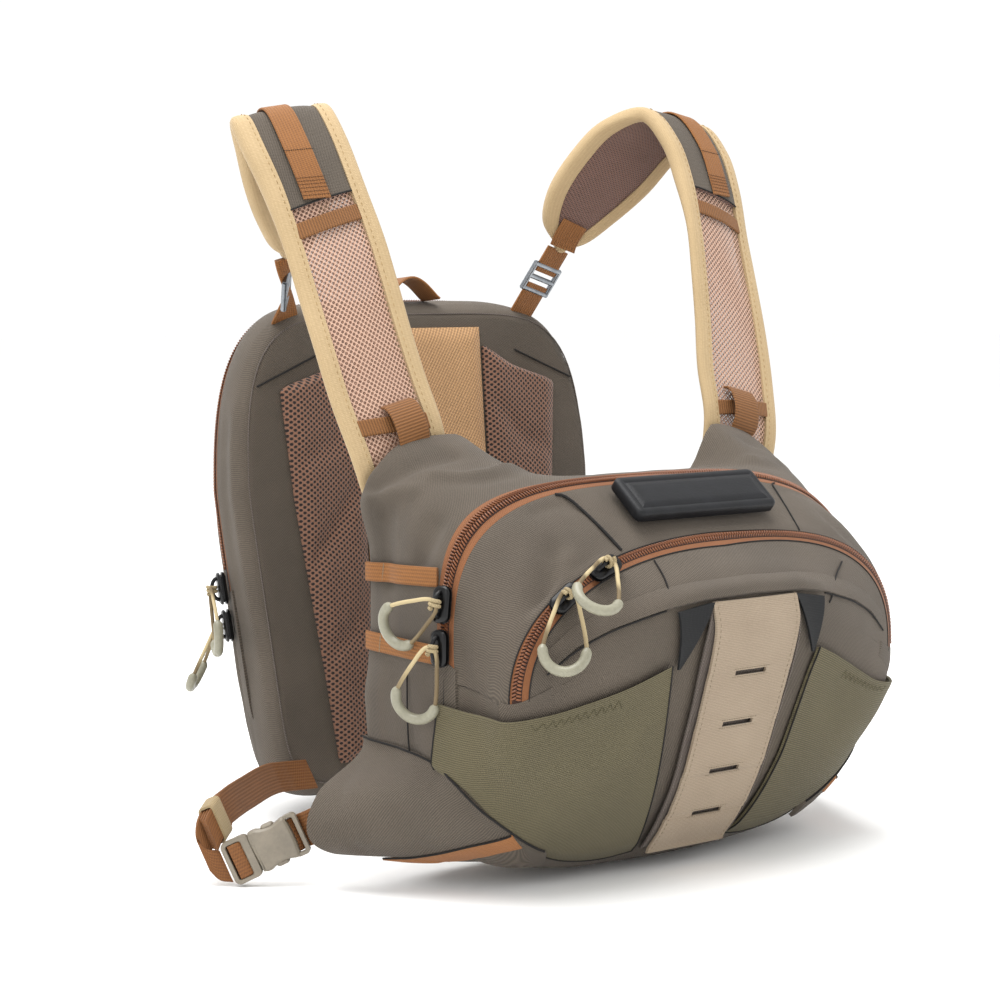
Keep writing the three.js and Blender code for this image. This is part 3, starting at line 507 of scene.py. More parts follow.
# Chest pack, front half: top panel, gusset and the wall that the front pocket is sewn on.
# The same twill, turned in along the zip and stitched to the lower gusset under the zip's ends.
POCKET_ZIP = {"depth": 113.0, "half": 5.7, "shows": (-5.2, 6.2)}
FRONT_CREASES = both_sides((
    (((-113, -186, -248), (-119, -193, -259), (-127, -199, -274)), -4.2, 6.0),
    (((-124, -190, -262), (-131, -195, -271), (-136, -197, -279)), -3.4, 6.0),
    (((-105, -194, -254), (-115, -199, -264), (-122, -202, -272)), 2.2, 6.0),
    (((-111, -170, -228), (-96, -171, -224), (-85, -174, -227)), -1.6, 6.0),
    (((-164, -168, -300), (-162, -178, -324), (-162, -176, -341)), -2.0, 8.0),
    (((-81, -195, -244), (-102, -199, -257), (-130, -200, -271)), -1.2, 7.0),
))
chest_front_shell = shell(
    "chest_front_shell_cloth", chest_skin,
    past_zip(beside_zip(chest_skin, CHEST_ZIP["depth"], CHEST_ZIP["shows"][1]),
             CHEST_ZIP["depth"] - CHEST_ZIP["half"]),
    past_zip(beside_zip(chest_skin, POCKET_ZIP["depth"], POCKET_ZIP["shows"][0]),
             POCKET_ZIP["depth"] - POCKET_ZIP["half"] - GAP),
    chest_heart, FRONT_CREASES, edge=0.8, seed=3.0, sewn=1.0)
fasten(chest_front_shell, [TWILL], "twill", "chest_front_shell")

# Front pocket: one domed twill panel that closes over the top with its own zip.
# Its upper part is a plain band, seamed above the flap and the two elastic pockets.
POCKET_MIDDLE = 152.0
pocket_heart = CHEST_PLACE[2] + POCKET_MIDDLE
POCKET_CREASES = both_sides((
    (((-128, -209, -318), (-108, -216, -320), (-88, -221, -324)), -1.6, 8.0),
    (((-75, -229, -290), (-66, -229, -306), (-60, -226, -322)), -1.4, 7.0),
    (((-125, -207, -300), (-112, -212, -330), (-105, -208, -362)), -1.6, 9.0),
))
pocket_shell = shell(
    "pocket_shell_cloth", chest_skin,
    past_zip(beside_zip(chest_skin, POCKET_ZIP["depth"], POCKET_ZIP["shows"][1]),
             POCKET_ZIP["depth"] - POCKET_ZIP["half"]),
    142.0, pocket_heart, POCKET_CREASES, edge=0.5, dents=1.0, seed=5.0, facing=True)
fasten(pocket_shell, [TWILL], "twill", "pocket_shell")

# Zips of the chest pack: rust-brown woven tapes with two rows of nylon coil in the same brown.
# The tape is stitched between the panels; the coil stands up in the middle, its rows interlocked.
TOOTH_PITCH = 2.0


def blended(tree, main, share, other):
    """Two heights mixed: the main one by its share, the other by the rest."""
    return calc(tree, "MULTIPLY_ADD", main, share, calc(tree, "MULTIPLY", other, round(1 - share, 6)))


def tape_weave(tree, u, v):
    """Fine ribs along a tape, crossed by finer threads."""
    return blended(tree, ribs(tree, v, 1.3), 0.65, ribs(tree, u, 0.9))


def even_line(points, pitch):
    """Points at an even pitch along a line."""
    reach = run_of(points[:, :3])
    at = np.linspace(0, reach[-1], max(2, int(round(reach[-1] / pitch)) + 1))
    return np.stack([np.interp(at, reach, points[:, k]) for k in range(points.shape[1])], 1)


def unit(vectors):
    return vectors / np.linalg.norm(vectors, axis=-1, keepdims=True)


PEBBLE_SIDES = 8
PEBBLE_RINGS = ((-1.0, 0.45), (-0.7, 0.9), (0.0, 1.0), (0.7, 0.9), (1.0, 0.45))
PEBBLE = np.array([
    (size * math.cos(t), across, 0.4 + 0.6 * size * math.sin(t))
    for across, size in PEBBLE_RINGS for t in np.arange(PEBBLE_SIDES) * 2 * math.pi / PEBBLE_SIDES
])
PEBBLE_FACES = [
    (k * PEBBLE_SIDES + c, k * PEBBLE_SIDES + (c + 1) % PEBBLE_SIDES,
     (k + 1) * PEBBLE_SIDES + (c + 1) % PEBBLE_SIDES, (k + 1) * PEBBLE_SIDES + c)
    for k in range(len(PEBBLE_RINGS) - 1) for c in range(PEBBLE_SIDES)
] + [tuple(range(PEBBLE_SIDES)), tuple(range(len(PEBBLE) - PEBBLE_SIDES, len(PEBBLE)))]


def scatter(name, shape, faces, places, sharp=60.0):
    """Many like small shapes as one piece; each place is a corner and three side vectors."""
    vertices = np.concatenate([corner + shape @ np.array(sides) for corner, *sides in places])
    every = [[spot + k * len(shape) for spot in face] for k in range(len(places)) for face in faces]
    lay = vertices[np.concatenate([np.array(face) for face in every])][:, [0, 2]]
    return make_piece(name, vertices, every, lay, sharp=sharp)


def coil_zip(name, skin, zip_sizes, tooth, coil_at, materials, node):
    """A tape over the top of a bag with its coil; the tooth is its size across, along and up."""
    depth, (low, high) = zip_sizes["depth"], zip_sizes["shows"]
    angles = ring_angles((0, 1), 90, ends=True)
    steps = np.unique(np.concatenate([np.linspace(low - 1.2, high + 1.2, 12), (low, high)]))
    depths = beside_zip(skin, depth, steps)(angles)
    hump = np.interp(steps, (low - 1.2, low, high, high + 1.2), (-1.2, 0.2, 0.2, -1.2))
    tape = panel(name + "_tape", skin(angles[:, None], depths, hump), skin(angles[:, None], depths, -1.8))
    fasten(tape, [materials[0]], "webbing", node)
    # A near-black band under the coil's teeth: painted shade in the gaps between them.
    steps = coil_at + np.linspace(-1.0, 1.0, 9) * tooth[0] * 1.02
    depths = beside_zip(skin, depth, steps)(angles)
    gap_shade_band = panel(name + "_gap_shade", skin(angles[:, None], depths, 0.6), skin(angles[:, None], depths, -0.2))
    fasten(gap_shade_band, [materials[2]], "webbing")
    fine = np.linspace(0, math.pi, 1600)
    depths = beside_zip(skin, depth, coil_at + np.array([-1.0, 0.0, 1.0]))(fine)
    lines = [skin(fine, depths[:, k], lift) for k, lift in ((1, 0.5), (0, 0.5), (2, 0.5), (1, 1.5))]
    track = even_line(np.concatenate(lines, 1)[16:-16], TOOTH_PITCH)
    middle, rear, ahead, top = (track[:, k:k + 3] for k in (0, 3, 6, 9))
    across, up = unit(ahead - rear), unit(top - middle)
    along = unit(np.gradient(middle, axis=0))
    places = []
    for side in (-1.0, 1.0):
        for k, spot in enumerate(middle):
            corner = spot + across[k] * side * tooth[0] * 0.52 + along[k] * side * TOOTH_PITCH * 0.25
            slant = across[k] + along[k] * side * 0.3
            places.append((corner, along[k] * tooth[1] / 2, slant * tooth[0] / 2, up[k] * tooth[2]))
    coil = scatter(name + "_coil", PEBBLE, PEBBLE_FACES, places)
    return fasten(coil, [materials[1]], "webbing")


TAPE = cloth("rust_tape", "683c1c", "8a562e", tape_weave, 0.2, roughness=0.75)
COIL = mottled("rust_coil", 0.36, "5e3218", "824f2c", 6.0, 3.0)
# Near-black colour of the band under each coil: painted shade between the teeth.
COIL_GAP_SHADE = cloth("coil_gap_shade", "22100a", "3a1f12", tape_weave, 0.2)
coil_zip("chest_zip", chest_skin, CHEST_ZIP, (3.4, 1.25, 1.6), -0.2, (TAPE, COIL, COIL_GAP_SHADE), "chest_zip")
coil_zip("pocket_zip", chest_skin, POCKET_ZIP, (2.5, 1.25, 1.4), -0.8, (TAPE, COIL, COIL_GAP_SHADE), "pocket_zip")
ZIP_STOP = {"half": 8.0, "lift": 1.0}


def zip_stops(name, skin, depth, sweep):
    """A folded patch over each end of a zip."""
    drop = np.linspace(0, 1, 9)[:, None]
    depths = depth + np.linspace(-1, 1, 13)[None, :] * ZIP_STOP["half"]
    for side_name, start, way in (("left", 0.0, -1.0), ("right", math.pi, 1.0)):
        turned = start + way * (drop * sweep - 0.01)
        face = skin(turned, depths, ZIP_STOP["lift"] - 1.2 * drop ** 2)
        patch = panel("%s_stop_%s" % (name, side_name), face, skin(turned, depths, -1.0))
        fasten(patch, [TWILL], "twill")


zip_stops("pocket_zip", chest_skin, POCKET_ZIP["depth"], 0.16)
zip_stops("chest_zip", chest_skin, CHEST_ZIP["depth"], 0.12)

# Seams of the chest pack: thin near-black lines where panels meet, sewn from the inside; their colour is
# painted shade in the folds of the twill.
# They run down the gusset under the zips, over the top panel and along the pocket's band.
HEART = np.array([0.0, -62.0, 106.0])
CHEST_GRID = np.linspace(0, 142.0, 120)
SKIN_ANGLES = ring_angles(per_quarter=48)
skin_grid = chest_local(SKIN_ANGLES[None, :], CHEST_GRID[:, None])
nose = len(CHEST_GRID) - 1
around = len(SKIN_ANGLES)
skin_faces = [
    (r * around + c, r * around + (c + 1) % around, (r + 1) * around + (c + 1) % around, (r + 1) * around + c)
    for r in range(nose) for c in range(around)
]
skin_faces.append([nose * around + c for c in range(around)])
chest_tree = BVHTree.FromPolygons(skin_grid.reshape(-1, 3).tolist(), skin_faces)


def on_chest(points, lift, tree=chest_tree):
    """Points moved out from the pack's heart until they stand the lift clear of its skin."""
    points = np.asarray(points, float)
    lift = np.broadcast_to(lift, points.shape[:-1])
    moved = np.zeros_like(points)
    for k in np.ndindex(points.shape[:-1]):
        far = np.linalg.norm(points[k] - HEART)
        way = (points[k] - HEART) / far
        reach = tree.ray_cast(Vector(HEART), Vector(way))[3]
        moved[k] = HEART + way * ((reach or far) + lift[k])
    return moved


def smooth_line(points, per=10):
    """A line through every point, rounded as a cord would be."""
    points = np.array(points, float)
    ends = np.vstack([2 * points[0] - points[1], points, 2 * points[-1] - points[-2]])
    line = []
    for a, b, c, d in zip(ends, ends[1:], ends[2:], ends[3:]):
        gaps = [max(1e-6, np.linalg.norm(q - p)) ** 0.5 for p, q in ((a, b), (b, c), (c, d))]
        leave = ((b - a) / gaps[0] - (c - a) / (gaps[0] + gaps[1]) + (c - b) / gaps[1]) * gaps[1]
        reach = ((c - b) / gaps[1] - (d - b) / (gaps[1] + gaps[2]) + (d - c) / gaps[2]) * gaps[1]
        for t in np.arange(per) / per:
            line.append(b + leave * t + (-3 * b + 3 * c - 2 * leave - reach) * t ** 2
                        + (2 * b - 2 * c + leave + reach) * t ** 3)
    line.append(points[-1])
    return np.array(line)


def sweep(name, rings, lay=None, sharp=50.0):
    """A closed solid through like rings of points, capped at both ends."""
    rings = np.asarray(rings, float)
    rows, sides = rings.shape[:2]
    if lay is None:
        middle = rings[rows // 2]
        round_it = run_of(np.concatenate([middle, middle[:1]]))
        lay = np.stack(np.meshgrid(round_it, run_of(rings.mean(1))), -1)
    quads, corners = [], []
    for r in range(rows - 1):
        for c in range(sides):
            quads.append([r * sides + c, r * sides + (c + 1) % sides,
                          (r + 1) * sides + (c + 1) % sides, (r + 1) * sides + c])
            corners.extend((lay[r, c], lay[r, c + 1], lay[r + 1, c + 1], lay[r + 1, c]))
    for r in (0, rows - 1):
        quads.append([r * sides + c for c in range(sides)])
        corners.extend(lay[r, c] for c in range(sides))
    return make_piece(name, rings.reshape(-1, 3), quads, corners, sharp=sharp)


def frames_of(line):
    """Steady side and up directions along a line."""
    ahead = unit(np.gradient(line, axis=0))
    side = np.zeros_like(line)
    side[0] = unit(np.cross(ahead[0], (0.31, 0.52, 0.79)))
    for k in range(1, len(line)):
        turned = side[k - 1] - ahead[k] * (side[k - 1] @ ahead[k])
        side[k] = turned / np.linalg.norm(turned)
    return side, np.cross(ahead, side)


def round_sweep(name, line, radius, sides=8):
    """A round cord, pipe or wire along a line; the radius may change along it."""
    line = np.asarray(line, float)
    radius = np.broadcast_to(radius, len(line))[:, None, None]
    side, up = frames_of(line)
    turn = np.linspace(0, 2 * math.pi, sides, endpoint=False)[None, :, None]
    return sweep(name, line[:, None] + radius * (np.cos(turn) * side[:, None] + np.sin(turn) * up[:, None]))


# Near-black colour for the seam lines: painted shade in the seams' folds; also the thread of one dark bar
# tack.
SEAM_SHADE_AND_THREAD = mottled("seam_shade_and_thread", 0.9, "0d0b0a", "1b1815", 9.0)
SEAM_ROUND = 0.5
OPEN_ROUND = 0.9
DART = ((92, -74, 219), (85, -76, 215.6), (79, -86, 207), (74, -98, 196), (71, -108, 187))
BAND = ((136, -119.6, 124), (118.6, -125.5, 137), (98, -131, 146), (75, -135.5, 152), (64, -137.5, 154.5))
UPRIGHT_RIGHT = ((-55, -118, 180.6), (-56.7, -128.6, 171), (-59.7, -137.5, 157.3))
UPRIGHT_LEFT = ((98, -120, 169), (81, -130, 160.4), (67.4, -138, 148.5))


def dark_line(name, line, bulge):
    """A thin near-black tube along a line: painted shade in a fold or seam."""
    return fasten(round_sweep(name, line, bulge, 6), [SEAM_SHADE_AND_THREAD], "twill")


def chest_seam(name, line, bulge=SEAM_ROUND):
    """A line of painted seam shade on the chest pack's skin, from points in its own axes."""
    return dark_line("seam_" + name, on_chest(even_line(smooth_line(line), 3.0), 0.55) + CHEST_PLACE, bulge)


for side, side_name in SIDES:
    flip = np.array([side, 1.0, 1.0])
    lower_angles = np.linspace(0, 1, 60) ** 2.0 * math.pi * 0.2
    lower_angles = -lower_angles if side > 0 else math.pi + lower_angles
    for seam_name, depth in (("rear", -31.0), ("front", -0.5)):
        gusset_line = chest_local(lower_angles, CHEST_ZIP["depth"] + depth)
        chest_seam("gusset_%s_%s" % (seam_name, side_name), gusset_line)
    chest_seam("dart_" + side_name, np.array(DART) * flip, OPEN_ROUND if side < 0 else SEAM_ROUND)
    chest_seam("band_" + side_name, np.array(BAND) * flip)
# Near-black lines along both edges of the pocket zip's tape: painted shadow where the tape meets the panels.
zip_angles = ring_angles((0, 1), 90, ends=True)
for edge_name, reach in zip(("rear", "front"), POCKET_ZIP["shows"]):
    edge = chest_skin(zip_angles, beside_zip(chest_skin, POCKET_ZIP["depth"], reach)(zip_angles), 0.3)
    dark_line("pocket_zip_%s_edge" % edge_name, even_line(edge, 3.0), 0.45)
chest_seam("upright_right", UPRIGHT_RIGHT)
chest_seam("upright_left", UPRIGHT_LEFT)

# Fly patch: a black foam block, moulded with rounded edges and a raised middle, glued to the top panel.
# Closed-cell foam with a fine pebbled skin.
FOAM = {"width": 112.0, "length": 31.0, "thick": 8.0, "corner": 4.5, "depth": 94.5, "height": 214.0,
        "tilt": 40.0}
FOAM_LEVELS = (
    # inset, height
    (0.6, 0.0), (0.0, 0.8), (0.0, 5.2), (0.5, 6.4), (1.6, 7.2), (3.4, 7.5), (4.4, 7.3),
    (5.2, 6.9), (6.0, 7.3), (7.4, 8.0), (9.5, 8.2), (13.0, 8.2),
)


def rounded_outline(width, length, corner, inset=0.0, per_corner=7):
    """A rectangle with round corners, as points round it."""
    corner = max(0.4, corner - inset)
    a, b = width / 2 - inset - corner, length / 2 - inset - corner
    points = []
    for quarter, (x, y) in enumerate(((a, b), (-a, b), (-a, -b), (a, -b))):
        for t in np.linspace(0, math.pi / 2, per_corner) + quarter * math.pi / 2:
            points.append((x + corner * math.cos(t), y + corner * math.sin(t)))
    return np.array(points)


def level_block(name, width, length, corner, levels, place, axes):
    """A moulded block: like outlines stacked by inset and height, on the given axes."""
    rings = []
    for inset, height in levels:
        flat = rounded_outline(width, length, corner, inset)
        rings.append(place + flat[:, :1] * axes[0] + flat[:, 1:] * axes[1] + height * axes[2])
    return sweep(name, rings, sharp=40.0)


def grained(name, dark, light, roughness, grain, depth, spread=0.12, **sockets):
    """Moulded foam or plastic: a fine pebbled skin and a slight change of tone."""
    material, tree, shader = bare_material(name, roughness, **sockets)
    spot = tree.nodes.new("ShaderNodeTexCoord").outputs["Object"]
    pebbles = join(tree, "TexNoise", spot, None, grain, 3.0)
    cloud = join(tree, "TexNoise", spot, None, grain * spread, 2.0)
    tone = calc(tree, "MULTIPLY_ADD", cloud, 0.6, calc(tree, "MULTIPLY", pebbles, 0.4))
    tree.links.new(tint(tree, tone, dark, light, 0.3, 0.7), shader.inputs["Base Color"])
    raise_bump(tree, shader, pebbles, depth)
    return material


FOAM_SKIN = grained("black_foam", "0b0c0e", "15161a", 0.5, 900.0, 0.15, Specular_IOR_Level=0.3)
tilt = math.radians(FOAM["tilt"])
foam_up = np.array([0.0, -math.sin(tilt), math.cos(tilt)])
foam_axes = np.array([[1.0, 0.0, 0.0], [0.0, math.cos(tilt), math.sin(tilt)], foam_up])
foam_place = CHEST_PLACE + np.array([0.0, -FOAM["depth"], FOAM["height"]]) - foam_up * FOAM["thick"] / 2
foam_patch = level_block(
    "foam_patch_block", FOAM["width"], FOAM["length"], FOAM["corner"], FOAM_LEVELS, foam_place, foam_axes)
fasten(foam_patch, [FOAM_SKIN], "foam", "foam_patch")

# Flap, slotted strip and gussets on the pocket's front: a grey twill flap with a khaki canvas strip
# sewn down its middle. Four bound slots take tools; two dark gussets spring the flap's top corners.
STRIP = {"half_top": 34.0, "half_foot": 31.0, "top": 158.0, "foot": 4.0, "tuck": 14.0, "lift": 4.8,
         "thick": 1.8}
SLOT = {"half": 12.0, "tall": 2.8, "stitch": 2.5, "heights": (115.0, 84.0, 55.0, 28.0)}
STRIP_HALF = 32.0
FLAP = {"lift": 2.0, "thick": 1.5}
FLAP_ROWS = np.array([
    # height, half width
    (157, 33), (146, 36.5), (134, 38), (121, 38), (100, 37), (75, 36.5), (50, 36), (28, 35.5), (8, 35),
], float)
GUSSET = {"lift": 2.6, "thick": 1.5, "corners": ((33, 158), (59, 154), (54, 121))}


def front_of(x, z, lift):
    """Points ahead of the pocket's front, straight out by the lift, in the pack's axes."""
    x, z, lift = np.broadcast_arrays(np.asarray(x, float), np.asarray(z, float), np.asarray(lift, float))
    spots = np.zeros(x.shape + (3,))
    for k in np.ndindex(x.shape):
        hit = chest_tree.ray_cast(Vector((x[k], -400.0, z[k])), Vector((0.0, 1.0, 0.0)))[0]
        spots[k] = (x[k], (hit.y if hit else -80.0) - lift[k], z[k])
    return spots


def front_panel(name, face, back, **cut):
    """Cloth on the pocket's front, from points in the pack's axes, woven straight up and down."""
    return panel(name, face + CHEST_PLACE, back + CHEST_PLACE, lay=face[..., [0, 2]], **cut)


def settle(points, passes):
    """Evens the depth of a grid of cloth points, so that it spans small hollows."""
    points = points.copy()
    for _ in range(passes):
        deep = np.pad(points[..., 1], 1, mode="edge")
        points[..., 1] = (deep[:-2, 1:-1] + deep[2:, 1:-1] + deep[1:-1, :-2] + deep[1:-1, 2:]) / 4
    return points


def canvas_weave(tree, u, v):
    """Plain weave: threads over and under each other."""
    return calc(tree, "MULTIPLY", ribs(tree, u, 1.0), ribs(tree, v, 1.0))


KHAKI = cloth("khaki_canvas", "847461", "b1a08a", canvas_weave, 0.22, shade=0.4)
FLAP_TWILL = cloth("dark_twill", "3e3732", "6c6159", twill_weave, 0.3, shade=0.42)
flap_heights = np.linspace(FLAP_ROWS[-1, 0], FLAP_ROWS[0, 0], 60)
flap_half = np.interp(flap_heights, FLAP_ROWS[::-1, 0], FLAP_ROWS[::-1, 1])
flap_x = np.linspace(-1, 1, 41)[None, :] * flap_half[:, None]
flap_z = np.broadcast_to(flap_heights[:, None], flap_x.shape)
flap_base = front_of(flap_x, flap_z, 0.0)
flap_wave = rumple(flap_base, 30.0, 0.7, 11.0)
flap_tuck = 1.0 - 0.7 * smooth_step(flap_z, STRIP["top"] - STRIP["tuck"], STRIP["top"])
flap_rise = (FLAP["lift"] + FLAP["thick"] + flap_wave) * flap_tuck
flap_face = flap_base - np.stack([0 * flap_rise, flap_rise, 0 * flap_rise], -1)
flap_back = flap_face + np.array([0.0, FLAP["thick"], 0.0])
strip_flap = front_panel("strip_flap_cloth", flap_face, flap_back)
fasten(strip_flap, [FLAP_TWILL], "twill", "strip_flap")
for side, side_name in SIDES[::-1]:
    edge = flap_face[:, 0 if side < 0 else -1] + CHEST_PLACE
    hem = round_sweep("flap_hem_" + side_name, even_line(edge, 4.0), 0.8, 8)
    fasten(hem, [FLAP_TWILL], "twill")
slot_lines = sorted(h + s * SLOT["tall"] / 2 for h in SLOT["heights"] for s in (-1, 1))
strip_heights = np.unique(np.concatenate([np.linspace(STRIP["foot"], STRIP["top"], 76), slot_lines]))
slot_share = SLOT["half"] / STRIP_HALF
strip_share = np.unique(np.concatenate([np.linspace(-1, 1, 25), [-slot_share, slot_share]]))
strip_half = np.interp(strip_heights, (STRIP["foot"], STRIP["top"]), (STRIP["half_foot"], STRIP["half_top"]))
strip_x = strip_share[None, :] * strip_half[:, None]
strip_z = np.broadcast_to(strip_heights[:, None], strip_x.shape)
strip_tuck = 1.0 - 0.75 * smooth_step(strip_z, STRIP["top"] - STRIP["tuck"], STRIP["top"])
strip_base = settle(front_of(strip_x, strip_z, STRIP["lift"] * strip_tuck), 8)
strip_face = strip_base - np.array([0.0, STRIP["thick"], 0.0])
row_middle = (strip_heights[1:] + strip_heights[:-1]) / 2
column_middle = (strip_share[1:] + strip_share[:-1]) / 2
in_slot = np.any([np.abs(row_middle - h) < SLOT["tall"] / 2 for h in SLOT["heights"]], axis=0)
strip_kept = ~(in_slot[:, None] & (np.abs(column_middle) < slot_share)[None, :])
slot_strip = front_panel("slot_strip_canvas", strip_face, strip_base, kept=strip_kept)
fasten(slot_strip, [KHAKI], "khaki", "slot_strip")


def stitch_row(name, line, outs, pitch, long, wide, material, slot):
    """A row of sewn stitches, each a short rounded thread that lies on the cloth."""
    track = even_line(np.concatenate([line, np.broadcast_to(outs, line.shape)], 1), pitch)
    spots, up = track[:, :3], unit(track[:, 3:])
    along = unit(np.gradient(spots, axis=0))
    side = unit(np.cross(up, along))
    shape = np.array([(-1, 0, 0), (0, -1, 0), (0, 0, 1), (0, 1, 0), (0, 0, -1), (1, 0, 0)], float)
    faces = [(0, a, b) for a, b in ((1, 2), (2, 3), (3, 4), (4, 1))]
    faces += [(5, b, a) for a, b in ((1, 2), (2, 3), (3, 4), (4, 1))]
    places = [(p, a * long / 2, s * wide / 2, u * wide / 2) for p, a, s, u in zip(spots, along, side, up)]
    return fasten(scatter(name, shape, faces, places), [material], slot)


THREAD = mottled("tan_thread", 0.8, "6d5f4b", "8b7b64", 12.0)
OUTWARD = np.array([0.0, -1.0, 0.0])
for side, side_name in SIDES[::-1]:
    edge = strip_face[:, 1 if side < 0 else -2] + CHEST_PLACE + OUTWARD * 0.1
    stitch_row("strip_stitch_" + side_name, edge, OUTWARD, 3.4, 2.5, 0.55, THREAD, "khaki")
for height in SLOT["heights"]:
    for offset in (-SLOT["stitch"], SLOT["stitch"]):
        xs = np.linspace(-SLOT["half"] - 1.5, SLOT["half"] + 1.5, 12)
        depth = np.interp(height + offset, strip_heights, strip_face[:, strip_face.shape[1] // 2, 1])
        line = np.stack([xs, np.full(12, depth - 0.15), np.full(12, height + offset)], 1) + CHEST_PLACE
        tag = "%d_%s" % (height, "top" if offset > 0 else "foot")
        stitch_row("slot_stitch_" + tag, line, OUTWARD, 1.9, 1.5, 0.5, THREAD, "khaki")
NAVY = cloth("navy_gusset", "040507", "0a0b0e", canvas_weave, 0.15, roughness=0.8, sheen=0.0)
for side, side_name in SIDES:
    a, b, c = (np.array(corner, float) for corner in GUSSET["corners"])
    grid = np.array([
        [(a + (b - a) * s) * (1 - t) + (c + (b - a) * s * 0.05) * t for s in np.linspace(0, 1, 9)]
        for t in np.linspace(0, 1, 13)
    ])
    fold = 2.0 * np.sin(np.linspace(0, math.pi, 9))[None, :] * np.linspace(1, 0.2, 13)[:, None]
    back = front_of(grid[..., 0] * side, grid[..., 1], GUSSET["lift"] - fold * 0.4)
    face = back - np.array([0.0, GUSSET["thick"], 0.0])
    gusset = front_panel("strip_gusset_%s_cloth" % side_name, face, back)
    fasten(gusset, [NAVY], "navy", "strip_gusset_" + side_name)
BAND_HEM = {"half": 136.0, "deep": 11.0, "above": 0.9}
BAND_EDGE = np.array([
    # out from the middle, height, lift
    (0, 158.5, 4.4), (40, 157, 4.2), (64, 154.5, 2.2), (75, 152, 1.6), (98, 146, 1.3), (119, 137, 1.1),
    (136, 124, 0.9),
], float)
hem_x = np.linspace(-BAND_HEM["half"], BAND_HEM["half"], 137)
hem_z, hem_lift = (np.interp(np.abs(hem_x), BAND_EDGE[:, 0], BAND_EDGE[:, k]) for k in (1, 2))
fall = np.linspace(0, 1, 10)[:, None]
hem_spots = front_of(hem_x + 0 * fall, hem_z + BAND_HEM["above"] + BAND_HEM["deep"] * (1 - fall), 0.0)
hem_rise = 0.3 + (hem_lift - 0.3) * np.sin(fall * 2.1) / math.sin(2.1)
hem_face, hem_back = (on_chest(hem_spots, rise) + CHEST_PLACE for rise in (hem_rise, -0.6))
band_hem = panel("band_hem_cloth", hem_face, hem_back, lay=hem_spots[..., [0, 2]])
fasten(band_hem, [TWILL], "twill")

# Elastic pockets: olive ribbed stretch cloth on each side of the strip, open along the slanting hem.
# Each is sewn in down its sides and along its foot, with a zig-zag bar under the hem.
STRETCH = {"lift": 2.3, "thick": 1.6}
POCKET_HEM = ((168, -66, 105), (161.8, -84.2, 102.4), (157.5, -100.5, 100.7), (145.1, -107, 99.6),
              (133.8, -119.1, 101.6), (109.9, -125.1, 106.4), (84.3, -129.9, 112.7), (57, -134.9, 122.4))
POCKET_FOOT = ((164, -58, 66), (155.6, -76.6, 54.5), (137.5, -81, 34), (118, -80, 21.5), (89, -77, 9.5),
               (65, -78, 5), (46, -82, 6))
HEM_DROP = {"by": 9.0, "from": 70.0, "to": 140.0}


def elastic_weave(tree, u, v):
    """Rows of covered rubber cords across the cloth, with fine knitted threads between."""
    return blended(tree, ribs(tree, v, 1.3), 0.7, ribs(tree, u, 1.1))


ELASTIC = cloth("olive_elastic", "3b3524", "686045", elastic_weave, 0.35, shade=0.6, sheen=0.06)
OLIVE_THREAD = mottled("olive_thread", 0.8, "37331f", "524c33", 12.0)
INNER_BOW = 10.0
hem_line = even_line(smooth_line(POCKET_HEM), 2.6)
foot_line = smooth_line(POCKET_FOOT)
foot_reach = run_of(foot_line)
foot_at = np.linspace(0, foot_reach[-1], len(hem_line))
foot_line = np.stack([np.interp(foot_at, foot_reach, foot_line[:, k]) for k in range(3)], 1)
drop = np.linspace(0, 1, 44)[:, None, None]
for side, side_name in SIDES:
    low_hem = hem_line.copy()
    if side > 0:
        low_hem[:, 2] -= HEM_DROP["by"] * smooth_step(low_hem[:, 0], HEM_DROP["from"], HEM_DROP["to"])
    grid = (low_hem[None] * (1 - drop) + foot_line[None] * drop) * np.array([side, 1.0, 1.0])
    grid[..., 0] -= side * INNER_BOW * np.linspace(0, 1, len(hem_line)) ** 2 * np.sin(2.2 * drop[..., 0])
    waves = rumple(grid + side * 40.0, 34.0, 0.7, 2.0)
    gape = 1.4 * np.exp(-(drop[..., 0] / 0.1) ** 2)
    close = 1.0 - 0.65 * smooth_step(drop[..., 0], 0.86, 1.0)
    face = on_chest(grid, (STRETCH["lift"] + STRETCH["thick"] + waves) * close + gape)
    back = on_chest(grid, (STRETCH["lift"] + waves) * close + gape - 0.4)
    pocket = panel("stretch_pocket_%s_cloth" % side_name, face + CHEST_PLACE, back + CHEST_PLACE)
    fasten(pocket, [ELASTIC], "elastic", "stretch_pocket_" + side_name)
    sewn_edges = {"inner": face[:, -1], "outer": face[:, 0], "foot": face[-1, len(hem_line) // 2:]}
    for edge_name, edge in sewn_edges.items():
        dark_line("pocket_seam_%s_%s" % (edge_name, side_name), even_line(edge, 3.0) + CHEST_PLACE, 0.55)
    outs = unit(face[0] - HEART)
    columns = np.arange(24, 46)
    zig = np.where(np.arange(len(columns)) % 2 == 0, 2, 4)
    bar = np.array([face[r, c] + outs[c] * 0.2 for r, c in zip(zig, columns)]) + CHEST_PLACE
    stitch_row("pocket_bar_" + side_name, bar, outs[columns], 1.6, 1.9, 0.6, OLIVE_THREAD, "elastic")

